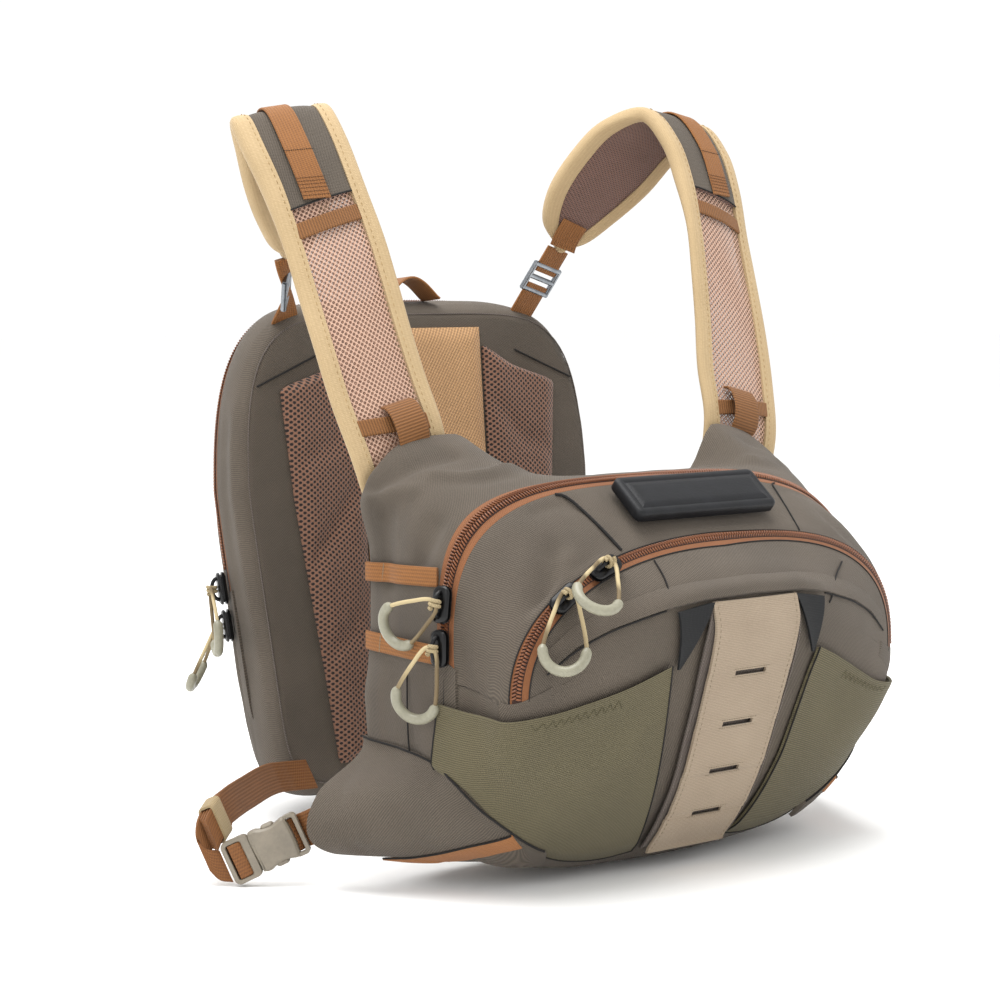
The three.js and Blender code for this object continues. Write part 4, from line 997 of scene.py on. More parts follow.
# Wings: twill panels that close the pack's lower corners and taper round to the side straps.
# Bagged out with a folded lower edge, which is bound in rust webbing toward the front.
WING = {"thick": 3.0, "lift": 2.2}
WING_SEAM = ((169, 1, 78), (172, -26, 74), (171, -50, 71), (166, -71, 64), (140, -84, 42), (105, -84, 18))
WING_CREASE = ((204, 7, 34), (191, -24, 38), (176, -50, 38), (156, -70, 34), (130, -81, 25), (102, -81, 14))
WING_HEM = ((187, 3, 12), (170, -22, 13), (150, -44, 12), (130, -58, 11), (112, -69, 10), (98, -76, 10))
seam_line, crease_line, hem_edge = (smooth_line(line, 9) for line in (WING_SEAM, WING_CREASE, WING_HEM))
fall = np.linspace(0, 1, 34)[:, None, None]
control = 2 * crease_line - (seam_line + hem_edge) / 2
wing_grid = (1 - fall) ** 2 * seam_line + 2 * fall * (1 - fall) * control + fall ** 2 * hem_edge
WING_CREASES = (
    (((188, -2, 66), (192, -10, 44), (182, -14, 20)), -2.6, 5.0),
    (((178, -34, 60), (176, -46, 42), (166, -48, 22)), -1.4, 9.0),
)
# The rust tape made lighter for the wings' hem: painted light on the wings' lower edges.
LIT_HEM_TAPE = cloth("rust_hem_tape_painted_light", "6e4420", "a87040", tape_weave, 0.25, shade=0.35)
HEM_TAPE = {"lift": 1.0, "thick": 1.4}
TAPE_TOP = ((171, -18, 10), (164.8, -32.1, 11.9), (156.7, -51.1, 16.9), (149, -66.6, 22), (141.6, -77, 25.5),
            (132.9, -85.9, 29.2))
TAPE_FOOT = ((171, -18, 9), (161, -32, 8.5), (151, -46, 9.5), (140.8, -56.6, 12.1), (132.9, -75.4, 17.7),
             (120.9, -84.8, 21))
for side, side_name in SIDES:
    relief = rumple(wing_grid + side * 30.0, 42.0, 1.6, 4.0) + creases(wing_grid, WING_CREASES)
    relief = relief * smooth_step(fall[..., 0], 0.0, 0.15)
    flip = np.array([side, 1.0, 1.0])
    reach = np.linalg.norm(wing_grid - HEART, axis=-1)
    bare = on_chest(wing_grid * flip, 0.0)
    fuller = np.maximum(0.0, creases(bare + CHEST_PLACE, CHEST_CREASES))
    skin_reach = np.linalg.norm(bare - HEART, axis=-1) + fuller
    over_pocket = np.interp(np.linspace(0, 1, wing_grid.shape[1]), (0.0, 0.5, 0.6, 1.0), (1.3, 1.3, 4.6, 4.4))
    ease = smooth_step(fall[..., 0], 0.0, 0.3)
    layers = []
    for lift, sewn in ((WING["lift"] + WING["thick"], over_pocket), (WING["lift"], -0.6)):
        far = np.maximum(reach + lift - WING["lift"] + relief, skin_reach + lift)
        far = skin_reach + sewn + (far - skin_reach - sewn) * ease
        layers.append(HEART + (unit(wing_grid - HEART) * far[..., None]) * flip)
    wing = panel("wing_%s_cloth" % side_name, layers[0] + CHEST_PLACE, layers[1] + CHEST_PLACE)
    fasten(wing, [TWILL], "twill", "wing_" + side_name)
    dark_line("wing_seam_" + side_name, layers[0][0] + CHEST_PLACE, 0.7)
    across = wing_grid.shape[1]
    wing_tree = BVHTree.FromPolygons(layers[0].reshape(-1, 3).tolist(), [
        (r * across + c, r * across + c + 1, (r + 1) * across + c + 1, (r + 1) * across + c)
        for r in range(len(fall) - 1) for c in range(across - 1)])
    tape_edges = [even_line(smooth_line(line), 0.5)[::6] * flip for line in (TAPE_TOP, TAPE_FOOT)]
    longest = min(len(edge) for edge in tape_edges)
    top_edge, foot_edge = (edge[np.linspace(0, len(edge) - 1, longest).astype(int)] for edge in tape_edges)
    strip = np.array([top_edge + (foot_edge - top_edge) * share for share in np.linspace(0, 1, 7)])
    face = on_chest(strip, HEM_TAPE["lift"], wing_tree) + CHEST_PLACE
    back = on_chest(strip, HEM_TAPE["lift"] - HEM_TAPE["thick"], wing_tree) + CHEST_PLACE
    fasten(panel("wing_hem_%s_tape" % side_name, face, back), [LIT_HEM_TAPE], "webbing")
    dark_line("wing_hem_seam_" + side_name, face[0], 0.6)

# Side webbings of the chest pack: short ribbed rust tapes from the rear seam to the main zip.
# Bar-tacked toward the rear; the same webbing is used all over the harness.
WEB_THICK = 1.6
WEB_WIDE = 20.0


def webbing_weave(tree, u, v):
    """Ribs along a webbing, each a row of slanting threads."""
    slant = ribs(tree, calc(tree, "ADD", v, calc(tree, "MULTIPLY", u, 0.5)), 1.5)
    return blended(tree, ribs(tree, u, 2.0), 0.6, slant)


WEB_FINISH = {"roughness": 0.75, "sheen": 0.05}
WEBBING = cloth("rust_webbing", "603815", "98632c", webbing_weave, 0.25, shade=0.3, **WEB_FINISH)


def web_ring(width, thick):
    """A webbing's cut end: flat with rounded edges, as side and height."""
    flat = np.linspace(-width / 2 + thick / 2, width / 2 - thick / 2, 11)
    turn = np.linspace(-math.pi / 2, math.pi / 2, 5)[1:-1]
    top = [(s, thick / 2) for s in flat]
    right = [(flat[-1] + math.cos(t) * thick / 2, -math.sin(-t) * thick / 2) for t in turn[::-1]]
    foot = [(s, -thick / 2) for s in flat[::-1]]
    left = [(flat[0] - math.cos(t) * thick / 2, math.sin(t) * thick / 2) for t in turn]
    return np.array(top + right + foot + left)


def ribbon(name, line, across, width, thick=WEB_THICK, pitch=2.5, material=None, nodes=(), slot="webbing"):
    """A flat webbing along a line; across points from its middle to one edge."""
    line = np.asarray(line, float)
    across = np.broadcast_to(np.asarray(across, float), line.shape)
    track = even_line(np.concatenate([line, across], 1), pitch)
    spots, side = track[:, :3], unit(track[:, 3:])
    up = unit(np.cross(side, np.gradient(spots, axis=0)))
    ring = web_ring(width, thick)
    rings = spots[:, None] + side[:, None] * ring[None, :, :1] + up[:, None] * ring[None, :, 1:]
    return fasten(sweep(name, rings), [material or WEBBING], slot, *nodes)


SIDE_WEB_WIDE = 11.0
SIDE_WEBS = (
    # name, height at the rear, height at the zip
    ("upper", 173.0, 174.5),
    ("lower", 133.6, 131.5),
)
for web_name, rear_height, front_height in SIDE_WEBS:
    for side, side_name in SIDES:
        share = np.linspace(0, 1, 14)
        heights = rear_height + (front_height - rear_height) * share
        depths = 0.6 + 60.6 * share
        line = []
        for height, depth in zip(heights, depths):
            hit = chest_tree.ray_cast(Vector((side * 300.0, -depth, height)), Vector((-side, 0.0, 0.0)))[0]
            fold = float(creases(np.array(hit) + CHEST_PLACE, CHEST_CREASES))
            line.append((hit.x + side * (1.6 + fold), -depth, height))
        web_line = np.array(line) + CHEST_PLACE
        ribbon("side_web_%s_%s" % (web_name, side_name), web_line, (0.0, 0.0, side), SIDE_WEB_WIDE)
        tack = web_line[3] + np.array([side * 0.8, 0.0, 0.0]) + np.array([[0.0, 0.6, -4.6], [0.0, -0.6, 4.6]])
        stitch_row("side_tack_%s_%s" % (web_name, side_name), tack, np.array([side, 0.0, 0.0]), 1.0, 1.5, 1.0,
                   THREAD, "webbing")

# Backpack: two twill halves that meet at a long zip over the top, leaning back a little from the wearer.
# The face is flat against the back, the rear is domed; the seams are folded into a dark ridge.
LEAN = math.radians(5.0)
PACK_PLACE = np.array([0.0, 48.0, -430.0])
PACK_ZIP = {"depth": 36.0, "half": 7.7, "shows": (-4.2, 4.2)}
PACK_SECTIONS = (
    (0, 142, 110, 310, 8, 5.4, 5.4, 8),
    (10, 147, 110, 317, 2, 5, 5, 8),
    (36, 143, 110, 319, 0, 4.3, 4.3, 8),
    (50, 133, 112, 309, 4, 3.8, 3.8, 6),
    (66, 119, 120, 294, 14, 3.4, 3.4, 4.6),
    (78, 103, 132, 275, 34, 3, 3, 3.6),
    (86, 84, 145, 250, 60, 2.6, 2.6, 2.8),
)
TAPER = {"share": 0.15, "below": 200.0}
pack_local = bag_skin(PACK_SECTIONS, 1.0, taper=TAPER)


def on_pack(points):
    """The backpack's own axes, turned and set in the harness's place."""
    points = np.asarray(points, float)
    y = points[..., 1] * math.cos(LEAN) + points[..., 2] * math.sin(LEAN)
    z = -points[..., 1] * math.sin(LEAN) + points[..., 2] * math.cos(LEAN)
    return np.stack([points[..., 0], y, z], -1) + PACK_PLACE


def pack_skin(angle, depth, lift=0.0):
    return on_pack(pack_local(angle, depth, lift))


SIDE_FOLDS = both_sides((
    (((-141, 9, 60), (-146, 8, 150), (-147, 10, 250)), 1.6, 7.0),
    (((-139, 22, 40), (-146, 20, 140), (-147, 18, 240)), -1.8, 7.0),
))
RIM = ((tuple(map(tuple, pack_local(np.linspace(-0.9, math.pi + 0.9, 60), 46.0))), 2.4, 7.0),)
pack_heart = 155.0
pack_face_shell = shell(
    "pack_face_shell_cloth", pack_local,
    past_zip(beside_zip(pack_local, PACK_ZIP["depth"], PACK_ZIP["shows"][0]), PACK_ZIP["depth"] - GAP),
    0.0, pack_heart, SIDE_FOLDS, edge=4.0, dents=1.6, seed=9.0)
pack_rear_shell = shell(
    "pack_rear_shell_cloth", pack_local,
    past_zip(beside_zip(pack_local, PACK_ZIP["depth"], PACK_ZIP["shows"][1]), PACK_ZIP["depth"]),
    86.0, pack_heart, RIM, edge=3.0, dents=1.8, seed=13.0, crown=4.0, rolled=True)
for half_shell, node in ((pack_face_shell, "pack_face_shell"), (pack_rear_shell, "pack_rear_shell")):
    spots = np.array([vertex.co for vertex in half_shell.data.vertices]) / MM
    half_shell.data.vertices.foreach_set("co", (on_pack(spots) * MM).ravel())
    fasten(half_shell, [TWILL], "twill", node)
coil_zip("pack_zip", pack_skin, PACK_ZIP, (2.1, 1.3, 1.5), 0.0, (TAPE, COIL, COIL_GAP_SHADE), "pack_zip")
zip_stops("pack_zip", pack_skin, PACK_ZIP["depth"], 0.07)
whole = ring_angles(per_quarter=40)
pack_edge = round_sweep("pack_face_piping", pack_skin(np.append(whole, whole[:2]), 0.8, -1.3)[:-1], 0.5, 8)
fasten(pack_edge, [FLAP_TWILL], "twill")
YOKE_SEAM = ((-131, -0.6, 264.8), (-109, -0.6, 273.5), (-82, -0.6, 284.4))
for side, side_name in SIDES:
    line = even_line(np.array(YOKE_SEAM) * np.array([-side, 1.0, 1.0]), 4.0)
    dark_line("pack_yoke_seam_" + side_name, on_pack(line), 0.6)

# Back panel of the backpack: two padded panels of open brown mesh beside a tan column of finer mesh.
# Spacer mesh over foam, its edges turned under and stitched, the top corners cut on a slant.
PAD_RISE = 8.0
COLUMN_RISE = 4.0
COLUMN = {"half": 51.0, "foot": 24.0, "top": 300.0}
MESH_EDGE = (
    # height, out from the middle
    (22, 83), (24, 84.5), (83, 92), (130, 99), (190, 107.5), (240, 112), (261, 114), (264, 111), (274, 78),
    (288, 53.5),
)
MESH_FOOT = 22.0
MESH_TOP = 287.0
MESH_INNER = 53.0
MESH_CREASES = (
    (((60, 0, 200), (85, 0, 168), (100, 0, 150)), -3.2, 7.0),
    (((58, 0, 250), (80, 0, 226), (112, 0, 214)), -2.2, 7.0),
    (((56, 0, 130), (72, 0, 106), (92, 0, 92)), -2.4, 7.0),
)


def hole_field(tree, u, v, wide, tall, open_share):
    """Staggered round holes, each in a cell of the given size: 0 in a hole, 1 on the threads between."""
    fields = []
    for shift in (0.0, 0.5):
        x = calc(tree, "FRACT", calc(tree, "MULTIPLY_ADD", u, 1 / wide, shift))
        y = calc(tree, "FRACT", calc(tree, "MULTIPLY_ADD", v, 1 / tall, shift))
        x = calc(tree, "SUBTRACT", x, 0.5)
        y = calc(tree, "MULTIPLY", calc(tree, "SUBTRACT", y, 0.5), tall / wide)
        squares = [calc(tree, "MULTIPLY", side, side) for side in (x, y)]
        fields.append(calc(tree, "SQRT", calc(tree, "ADD", *squares)))
    nearest = calc(tree, "MINIMUM", *fields)
    made = tree.nodes.new("ShaderNodeMapRange")
    made.interpolation_type = "SMOOTHSTEP"
    tree.links.new(nearest, made.inputs["Value"])
    made.inputs["From Min"].default_value = open_share * 0.75
    made.inputs["From Max"].default_value = open_share * 1.25
    return made.outputs[0]


def mesh_weave(wide, tall, open_share):
    return lambda tree, u, v: hole_field(tree, u, v, wide, tall, open_share)


def column_weave(tree, u, v):
    return twill_weave(tree, calc(tree, "MULTIPLY", u, -1.0), v, 2.6)


def padded_mesh(name, x, z, from_edge, edge_rise, full_rise, shoulder, dents):
    """Spacer mesh over foam on the backpack's face: low along its edges, full a little way in."""
    rise = edge_rise + (full_rise - edge_rise) * np.sqrt(smooth_step(from_edge, -1.0, shoulder))
    rise = rise + dents * smooth_step(from_edge, 0.0, 10.0)
    face, back = (np.stack([x, 0 * x - level, z], -1) for level in (rise, 0.4))
    return panel(name, on_pack(face), on_pack(back), lay=face[..., [0, 2]])


# The mesh's holes take the dark colour: painted shade of the layer behind them.
PACK_MESH = cloth("brown_mesh", "251914", "845f4b", mesh_weave(4.2, 3.5, 0.22), 1.0, shade=0.75, sheen=0.2)
COLUMN_MESH = cloth("tan_mesh", "8e6c49", "ca9f71", column_weave, 0.5, shade=0.5, sheen=0.2)
mesh_heights = np.linspace(MESH_FOOT, MESH_TOP, 110)
mesh_outer = np.interp(mesh_heights, *np.array(MESH_EDGE, float).T)
spread = np.linspace(0, 1, 46)
for side, side_name in SIDES:
    x = MESH_INNER + (mesh_outer[:, None] - MESH_INNER) * spread[None, :]
    z = np.broadcast_to(mesh_heights[:, None], x.shape)
    from_edge = np.minimum.reduce([
        x - MESH_INNER, mesh_outer[:, None] - x, z - MESH_FOOT, (MESH_TOP - z) * 0.7])
    flat = np.stack([x, 0 * x, z], -1)
    dents = rumple(flat + side * 50.0, 26.0, 1.0, 6.0) + creases(flat, MESH_CREASES)
    pad = padded_mesh("mesh_pad_%s_cloth" % side_name, x * side, z, from_edge, 1.2, PAD_RISE, 13.0, dents)
    fasten(pad, [PACK_MESH], "mesh", "mesh_pad_" + side_name)
x = np.broadcast_to(np.linspace(-COLUMN["half"], COLUMN["half"], 46)[None, :], (100, 46))
z = np.broadcast_to(np.linspace(COLUMN["foot"], COLUMN["top"], 100)[:, None], (100, 46))
from_edge = np.minimum.reduce([COLUMN["half"] - np.abs(x), z - COLUMN["foot"], COLUMN["top"] - z])
dents = rumple(np.stack([x, 0 * x, z], -1), 40.0, 0.6, 8.0)
column = padded_mesh("mesh_column_cloth", x, z, from_edge, 0.8, COLUMN_RISE, 10.0, dents)
fasten(column, [COLUMN_MESH], "column_mesh", "mesh_column")

# Haul loop: a short rust webbing bowed up over the middle of the backpack's top edge.
# Both ends are caught in the face seam.
HAUL = {"depth": 12.0, "half": 22.0, "lift": 1.2, "rise": 14.0}
swing = np.linspace(-1, 1, 25)
haul_foot = pack_local(math.pi / 2, HAUL["depth"])[2]
haul_line = np.stack([
    swing * HAUL["half"],
    np.full_like(swing, HAUL["depth"]),
    haul_foot + HAUL["lift"] + WEB_THICK / 2 + HAUL["rise"] * (1 - swing ** 2) ** 1.3,
], 1)
haul_across = on_pack((0.0, 1.0, 0.0)) - on_pack((0.0, 0.0, 0.0))
ribbon("haul_loop_web", on_pack(haul_line), haul_across, WEB_WIDE, nodes=("haul_loop",))

# Shoulder straps: curved bands of open spacer mesh below and a foam-filled, twill-covered yoke over the
# shoulder, edged all round in cream binding. Rust webbing runs along the yoke and across the mesh.
YOKE = (5.75, 12.5)
MESH_PART = (0.0, 5.9)
PAD_INNER = (
    (104, -87.5, -212), (108, -86, -185), (112.5, -75, -155), (118, -67, -125), (122.5, -59, -95),
    (127, -50, -65), (131, -36, -35), (132, -21, -8), (127, -2, 11), (110, 16, 4), (96.5, 31, -16),
    (89, 45, -40), (92, 54, -61), (105, 58, -74),
)
PAD_OUTER = (
    (164, -87.5, -230), (173, -85, -202), (180, -75, -170), (184.5, -64, -137), (188, -52, -105),
    (191, -40, -74), (195.5, -26, -41), (198, -12, -16), (194, 3, 0), (179, 15, -16), (162, 27, -40),
    (143, 40, -60), (126, 50, -74), (114, 56, -77),
)
SAG = {"drop": 9.0, "inward": 4.0, "low": -170.0, "high": -30.0}
TUCK = {"inward": -9.0, "from": -34.0, "to": 40.0}
PER_STATION = 24
inner_edge, outer_edge = smooth_line(PAD_INNER, PER_STATION), smooth_line(PAD_OUTER, PER_STATION)
stations = np.arange(len(inner_edge)) / PER_STATION
pad_middle = (inner_edge + outer_edge) / 2
pad_half = outer_edge - pad_middle
pad_ahead = unit(np.gradient(inner_edge, axis=0) + np.gradient(outer_edge, axis=0))
pad_up = unit(np.cross(pad_half, pad_ahead))


def on_side(points, side):
    """The left strap's points, or the right strap's, which hangs a little lower and closer in."""
    points = np.asarray(points, float)
    if side > 0:
        return points
    sag = smooth_step(points[..., 2], SAG["low"], SAG["high"])
    inward = SAG["inward"] * sag + TUCK["inward"] * smooth_step(points[..., 1], TUCK["from"], TUCK["to"])
    return np.stack([inward - points[..., 0], points[..., 1], points[..., 2] - SAG["drop"] * sag], -1)


def at_station(values, at):
    return np.stack([np.interp(at, stations, values[:, k]) for k in range(3)], -1)


def on_pad(at, share, rise, margin=0.0):
    """A point on a strap: station along it, share of its half width across it, rise off its middle."""
    half = at_station(pad_half, at)
    wide = np.linalg.norm(half, axis=-1, keepdims=True)
    room = np.maximum(wide - margin, 0.25 * wide)
    rise = np.asarray(rise, float)[..., None]
    return at_station(pad_middle, at) + half / wide * room * np.asarray(share)[..., None] \
        + unit(at_station(pad_up, at)) * rise


def strap_layer(name, side, rows, columns, rise, under, margin, dent_size, dent_height):
    """Padded cloth on one strap, between two rises; gives the piece and the points of its upper face."""
    rows, columns = np.broadcast_arrays(rows, columns)
    face, back = (on_pad(rows, columns, level, margin) for level in (rise, under))
    waves = rumple(face + side * 60.0, dent_size, dent_height, 1.0)[..., None] * unit(face - back)
    face, back = (on_side(layer + waves, side) for layer in (face, back))
    return panel(name, face, back), face


def along_strap(side, at, share, rise, margin=0.0):
    """A line on one strap, and the way across the strap at each of its points."""
    shares = (0 * at + share, 0 * at + share + 0.1)
    line, beside = (on_side(on_pad(at, spread, 0 * at + rise, margin), side) for spread in shares)
    return line, beside - line


BINDING = cloth("cream_binding", "9e8762", "c1a882", canvas_weave, 0.12, roughness=0.85, shade=0.2)
# The lining's and the strap mesh's holes take the dark colour too: painted shade of the layer behind; the
# strap mesh's holes are also partly see-through.
LINING = cloth("mauve_lining", "463029", "785a4f", mesh_weave(2.6, 2.2, 0.2), 0.4, shade=0.5, sheen=0.25)
STRAP_HOLES = (3.4, 3.6, 0.26)
STRAP_MESH = cloth("strap_mesh", "6a4b3e", "bd9a85", mesh_weave(*STRAP_HOLES), 0.5, shade=0.75, sheen=0.1)
tree = STRAP_MESH.node_tree
_, u, v = cloth_lines(tree)
opening = calc(tree, "MULTIPLY_ADD", hole_field(tree, u, v, *STRAP_HOLES), 0.75, 0.25)
tree.links.new(opening, tree.nodes["Principled BSDF"].inputs["Alpha"])


def grosgrain_weave(tree, u, v):
    """Firm ribs straight across a webbing."""
    return blended(tree, ribs(tree, v, 1.8), 0.7, ribs(tree, u, 0.9))


GROSGRAIN = cloth("rust_grosgrain", "56330f", "8c5c2d", grosgrain_weave, 0.3, shade=0.5, **WEB_FINISH)
CREAM_THREAD = mottled("cream_thread", 0.8, "8a7048", "a98e62", 12.0)
BAND_LINE = (
    # inward from the edge, height
    (11.2, 4.4), (9.5, 4.8), (6.0, 4.9), (3.6, 4.7), (1.8, 4.1), (0.6, 2.9), (0.0, 1.0), (0.0, -1.0),
    (0.6, -2.9), (1.8, -4.1), (3.6, -4.7), (6.0, -4.9), (9.5, -4.8), (11.2, -4.4), (11.2, -3.2), (11.2, 3.2),
)
CROSS_WEBS = ((5.48, 5.22), (1.2, 1.45))
FOOT_LOOP = {"from": 1.66, "to": 0.76, "share": -0.22, "wide": 22.0, "bow": 8.0}
THIN = {"share": 0.62, "from": 4.9, "to": 6.2}
COVER_EDGE = 0.6
YOKE_WEB = {"share": 0.12, "wide": 18.0, "to": 10.4, "rise": 6.5,
            "tacks": (6.75, 6.16, 6.09, 6.02, 5.95, 5.88, 5.81)}
TIP_WEB = {"from": 11.5, "to": 12.95, "rise": -6.0}
MESH_MARGIN = 9.0
YOKE_MARGIN = 9.5
CROSS_MARGIN = 10.4
STITCH_INSET = 8.4
RUST_THREAD = mottled("rust_thread", 0.8, "3d2410", "583518", 12.0)
for side, side_name in SIDES:
    columns = np.linspace(-1, 1, 33)[None, :]
    rows = np.linspace(*MESH_PART, 130)[:, None]
    rise = 1.6 * (1 - columns ** 2) + 0.8 + 0 * rows
    pad, _ = strap_layer(
        "strap_mesh_%s_cloth" % side_name, side, rows, columns, rise, rise - 2.4, MESH_MARGIN, 40.0, 1.0)
    fasten(pad, [STRAP_MESH], "strap_mesh", "shoulder_pad_" + side_name)
    rows = np.linspace(0, 1, 150)[:, None]
    rows = YOKE[0] - 0.14 * columns + (YOKE[1] - YOKE[0] + 0.14 * columns) * rows
    rise = 2.4 + 2.9 * (1 - columns ** 2) ** 0.5 + 0 * rows
    yoke, cover = strap_layer(
        "strap_yoke_%s_cloth" % side_name, side, rows, columns, rise, -rise, YOKE_MARGIN, 30.0, 0.7)
    fasten(yoke, [TWILL, LINING], "twill")
    dark_line("strap_cover_edge_" + side_name, even_line(cover[0], 2.0), COVER_EDGE)

    # The binding runs up one edge, round the rear tip and down the other edge.
    tip = np.linspace(0, math.pi, 15)[1:-1]
    last = len(stations) - 1
    reach = np.linalg.norm(pad_half[last])
    tip_across, tip_ahead = unit(pad_half[last]), pad_ahead[last]
    round_tip = [
        pad_middle[last] - tip_across * reach * math.cos(t) + tip_ahead * 5.0 * math.sin(t) for t in tip]
    edge = np.concatenate([inner_edge, round_tip, outer_edge[::-1]])
    heights = np.concatenate([pad_up, [pad_up[last]] * len(tip), pad_up[::-1]])
    tip_inward = [tip_across * math.cos(t) - tip_ahead * math.sin(t) for t in tip]
    inward = np.concatenate([unit(pad_half), tip_inward, -unit(pad_half[::-1])])
    room = np.concatenate([np.linalg.norm(pad_half, axis=1), [reach] * len(tip),
                           np.linalg.norm(pad_half[::-1], axis=1)])
    fit = np.minimum(1.0, room * 0.92 / BAND_LINE[0][0])[:, None]
    flatter = THIN["share"] + (1 - THIN["share"]) * smooth_step(stations, THIN["from"], THIN["to"])
    heights = heights * np.concatenate([flatter, np.ones(len(tip)), flatter[::-1]])[:, None]
    rings = np.array([edge + inward * step * fit + heights * rise for step, rise in BAND_LINE])
    rings = rings.transpose(1, 0, 2)[::3]
    binding = sweep("strap_binding_%s_tape" % side_name, on_side(rings, side))
    fasten(binding, [BINDING], "binding", "strap_binding_" + side_name)
    stitches = on_side(edge + inward * STITCH_INSET * fit + heights * 4.95, side)
    lifted = on_side(edge + inward * STITCH_INSET * fit + heights * 5.95, side) - stitches
    stitch_row("strap_stitch_" + side_name, stitches, lifted, 4.2, 3.0, 0.7, CREAM_THREAD, "binding")

    run = np.linspace(YOKE[0], YOKE_WEB["to"], 60)
    web, across = along_strap(side, run, YOKE_WEB["share"], YOKE_WEB["rise"])
    ribbon("strap_webbing_%s_web" % side_name, web, across * side, YOKE_WEB["wide"],
           nodes=("strap_webbing_" + side_name,))
    for number, at in enumerate(YOKE_WEB["tacks"]):
        share = YOKE_WEB["share"] + np.linspace(-0.28, 0.28, 9)
        tack = on_side(on_pad(np.full(9, at), share, np.full(9, 7.4)), side)
        stitch_row("strap_web_tack_%s_%d" % (side_name, number + 1), tack, np.array([0.0, -0.5, 0.8]),
                   1.4, 1.5, 0.6, SEAM_SHADE_AND_THREAD if number == 0 else RUST_THREAD, "webbing")
    for number, (inner_at, outer_at) in enumerate(CROSS_WEBS):
        share = np.linspace(-1, 1, 21)
        at = inner_at + (outer_at - inner_at) * (share + 1) / 2
        rise = 2.2 + 2.4 * (1 - share ** 2)
        line = on_side(on_pad(at, share, rise, CROSS_MARGIN), side)
        lengthwise = on_side(on_pad(at + 0.1, share, rise, CROSS_MARGIN), side) - line
        ribbon("strap_cross_%s_%d" % (side_name, number + 1), line, -lengthwise * side, 10.0, pitch=2.0,
               material=GROSGRAIN)
    swing = np.linspace(-1, 1, 25)
    at = FOOT_LOOP["from"] + (FOOT_LOOP["to"] - FOOT_LOOP["from"]) * (swing + 1) / 2
    rise = 3.0 + FOOT_LOOP["bow"] * np.sqrt(1 - swing ** 2)
    line, across = along_strap(side, at, FOOT_LOOP["share"], rise, MESH_MARGIN)
    ribbon("strap_foot_loop_" + side_name, line, -across * side, FOOT_LOOP["wide"], pitch=1.2,
           material=GROSGRAIN)
    line, across = along_strap(side, np.linspace(TIP_WEB["from"], TIP_WEB["to"], 12), 0.0, TIP_WEB["rise"])
    ribbon("strap_tip_web_" + side_name, line, across * side, WEB_WIDE)

# Strap adjusters: a webbing tab from each strap's tip, a steel ladder lock, and a tab on the backpack.
# The webbing is sewn back on itself through the lock's two slots.
TAB = {"tip": (109.3, 58.2, -78.4), "anchor": (93.0, 83.5, -127.5), "start": 0.01, "lock": 0.42, "end": 0.9,
       "thick": 2.4, "twist_left": 0.0, "twist_right": -0.87}
LOCK = {"wide": 27.0, "long": 22.0, "inset": 1.8, "bar": 1.9, "span": 0.92, "slot": 0.08}
STEEL = grained("brushed_steel", "6d7176", "94989d", 0.3, 400.0, 0.03, Metallic=1.0)
tip, anchor = np.array(TAB["tip"]), np.array(TAB["anchor"])
for side, side_name in SIDES:
    low, high = (on_side(point, side) for point in (anchor, tip))
    down = unit(low - high)
    across = unit(np.cross(down, (0.0, 1.0, 0.35)))
    twists = [TAB["twist_" + side_name] * share for share in (*np.linspace(0, 1, 12), *np.linspace(1, 0, 12))]
    turned = np.array([across * math.cos(t) + np.cross(down, across) * math.sin(t) for t in twists])
    across = turned[11]
    length = np.linalg.norm(low - high)
    spot = high + down * length * TAB["lock"]
    upper_tab = [high + down * length * t for t in np.linspace(TAB["start"], TAB["lock"] - LOCK["slot"], 12)]
    lower_tab = [high + down * length * t for t in np.linspace(TAB["lock"] + LOCK["slot"], TAB["end"], 12)]
    for tab_name, tab, ways in (("strap_tab", upper_tab, turned[:12]), ("pack_tab", lower_tab, turned[12:])):
        node = "%s_%s" % (tab_name, side_name)
        ribbon(node + "_web", tab, ways, WEB_WIDE, TAB["thick"], nodes=(node,))
    rails = []
    bar_shares = np.linspace(-LOCK["span"], LOCK["span"], 9)
    for shift in (-LOCK["long"] / 2 + LOCK["inset"], 0.0, LOCK["long"] / 2 - LOCK["inset"]):
        rails.append([spot + across * LOCK["wide"] * s / 2 + down * shift for s in bar_shares])
    for s in (-1, 1):
        rail_at = spot + across * s * (LOCK["wide"] / 2 - LOCK["inset"])
        rails.append([rail_at + down * LOCK["long"] * t / 2 for t in bar_shares])
    for number, rail in enumerate(rails):
        bar = round_sweep("ladder_lock_%s_bar_%d" % (side_name, number + 1), np.array(rail), LOCK["bar"], 10)
        nodes = ("ladder_lock_" + side_name,) if number == 0 else ()
        fasten(bar, [STEEL], "steel", *nodes)

# Side straps: rust webbing from the backpack's lower corners round the wearer to a side-release buckle.
# The free tail is folded back on itself, held by a band of tan elastic.
SIDE_STRAP = ((122, 52, -411), (150, 34, -408), (182, 9, -407), (212, -15, -407), (235, -31, -411),
              (245.5, -38, -419), (247.5, -41, -427), (243.5, -44.5, -433), (236.8, -48.2, -434.4))
STRAP_ROOT = ((108, 47.6, -411.6), (117, 47.4, -411.2), (124, 47.2, -410.8))
SIDE_ACROSS = np.array([-0.26, -0.32, -0.91])
BUCKLE_AT = np.array([219.0, -62.0, -424.0])
BUCKLE_ALONG = np.array([-0.718, -0.554, 0.418])
BUCKLE = {"wide": 26.0, "thick": 9.0, "plug": 17.0, "plug_thick": 7.0, "split": -6.5,
          "plug_back": 8.5, "socket_ahead": 15.15}
SOCKET_SIDE = (
    # out from the middle, along the socket
    (11.8, -15), (12.8, -12.6), (12.8, -9.5), (12.0, -7.6), (11.3, -4.5), (11.1, -1.0), (11.5, 2.2),
    (12.2, 4.6), (12.6, 6.6), (11.6, 8.4),
)
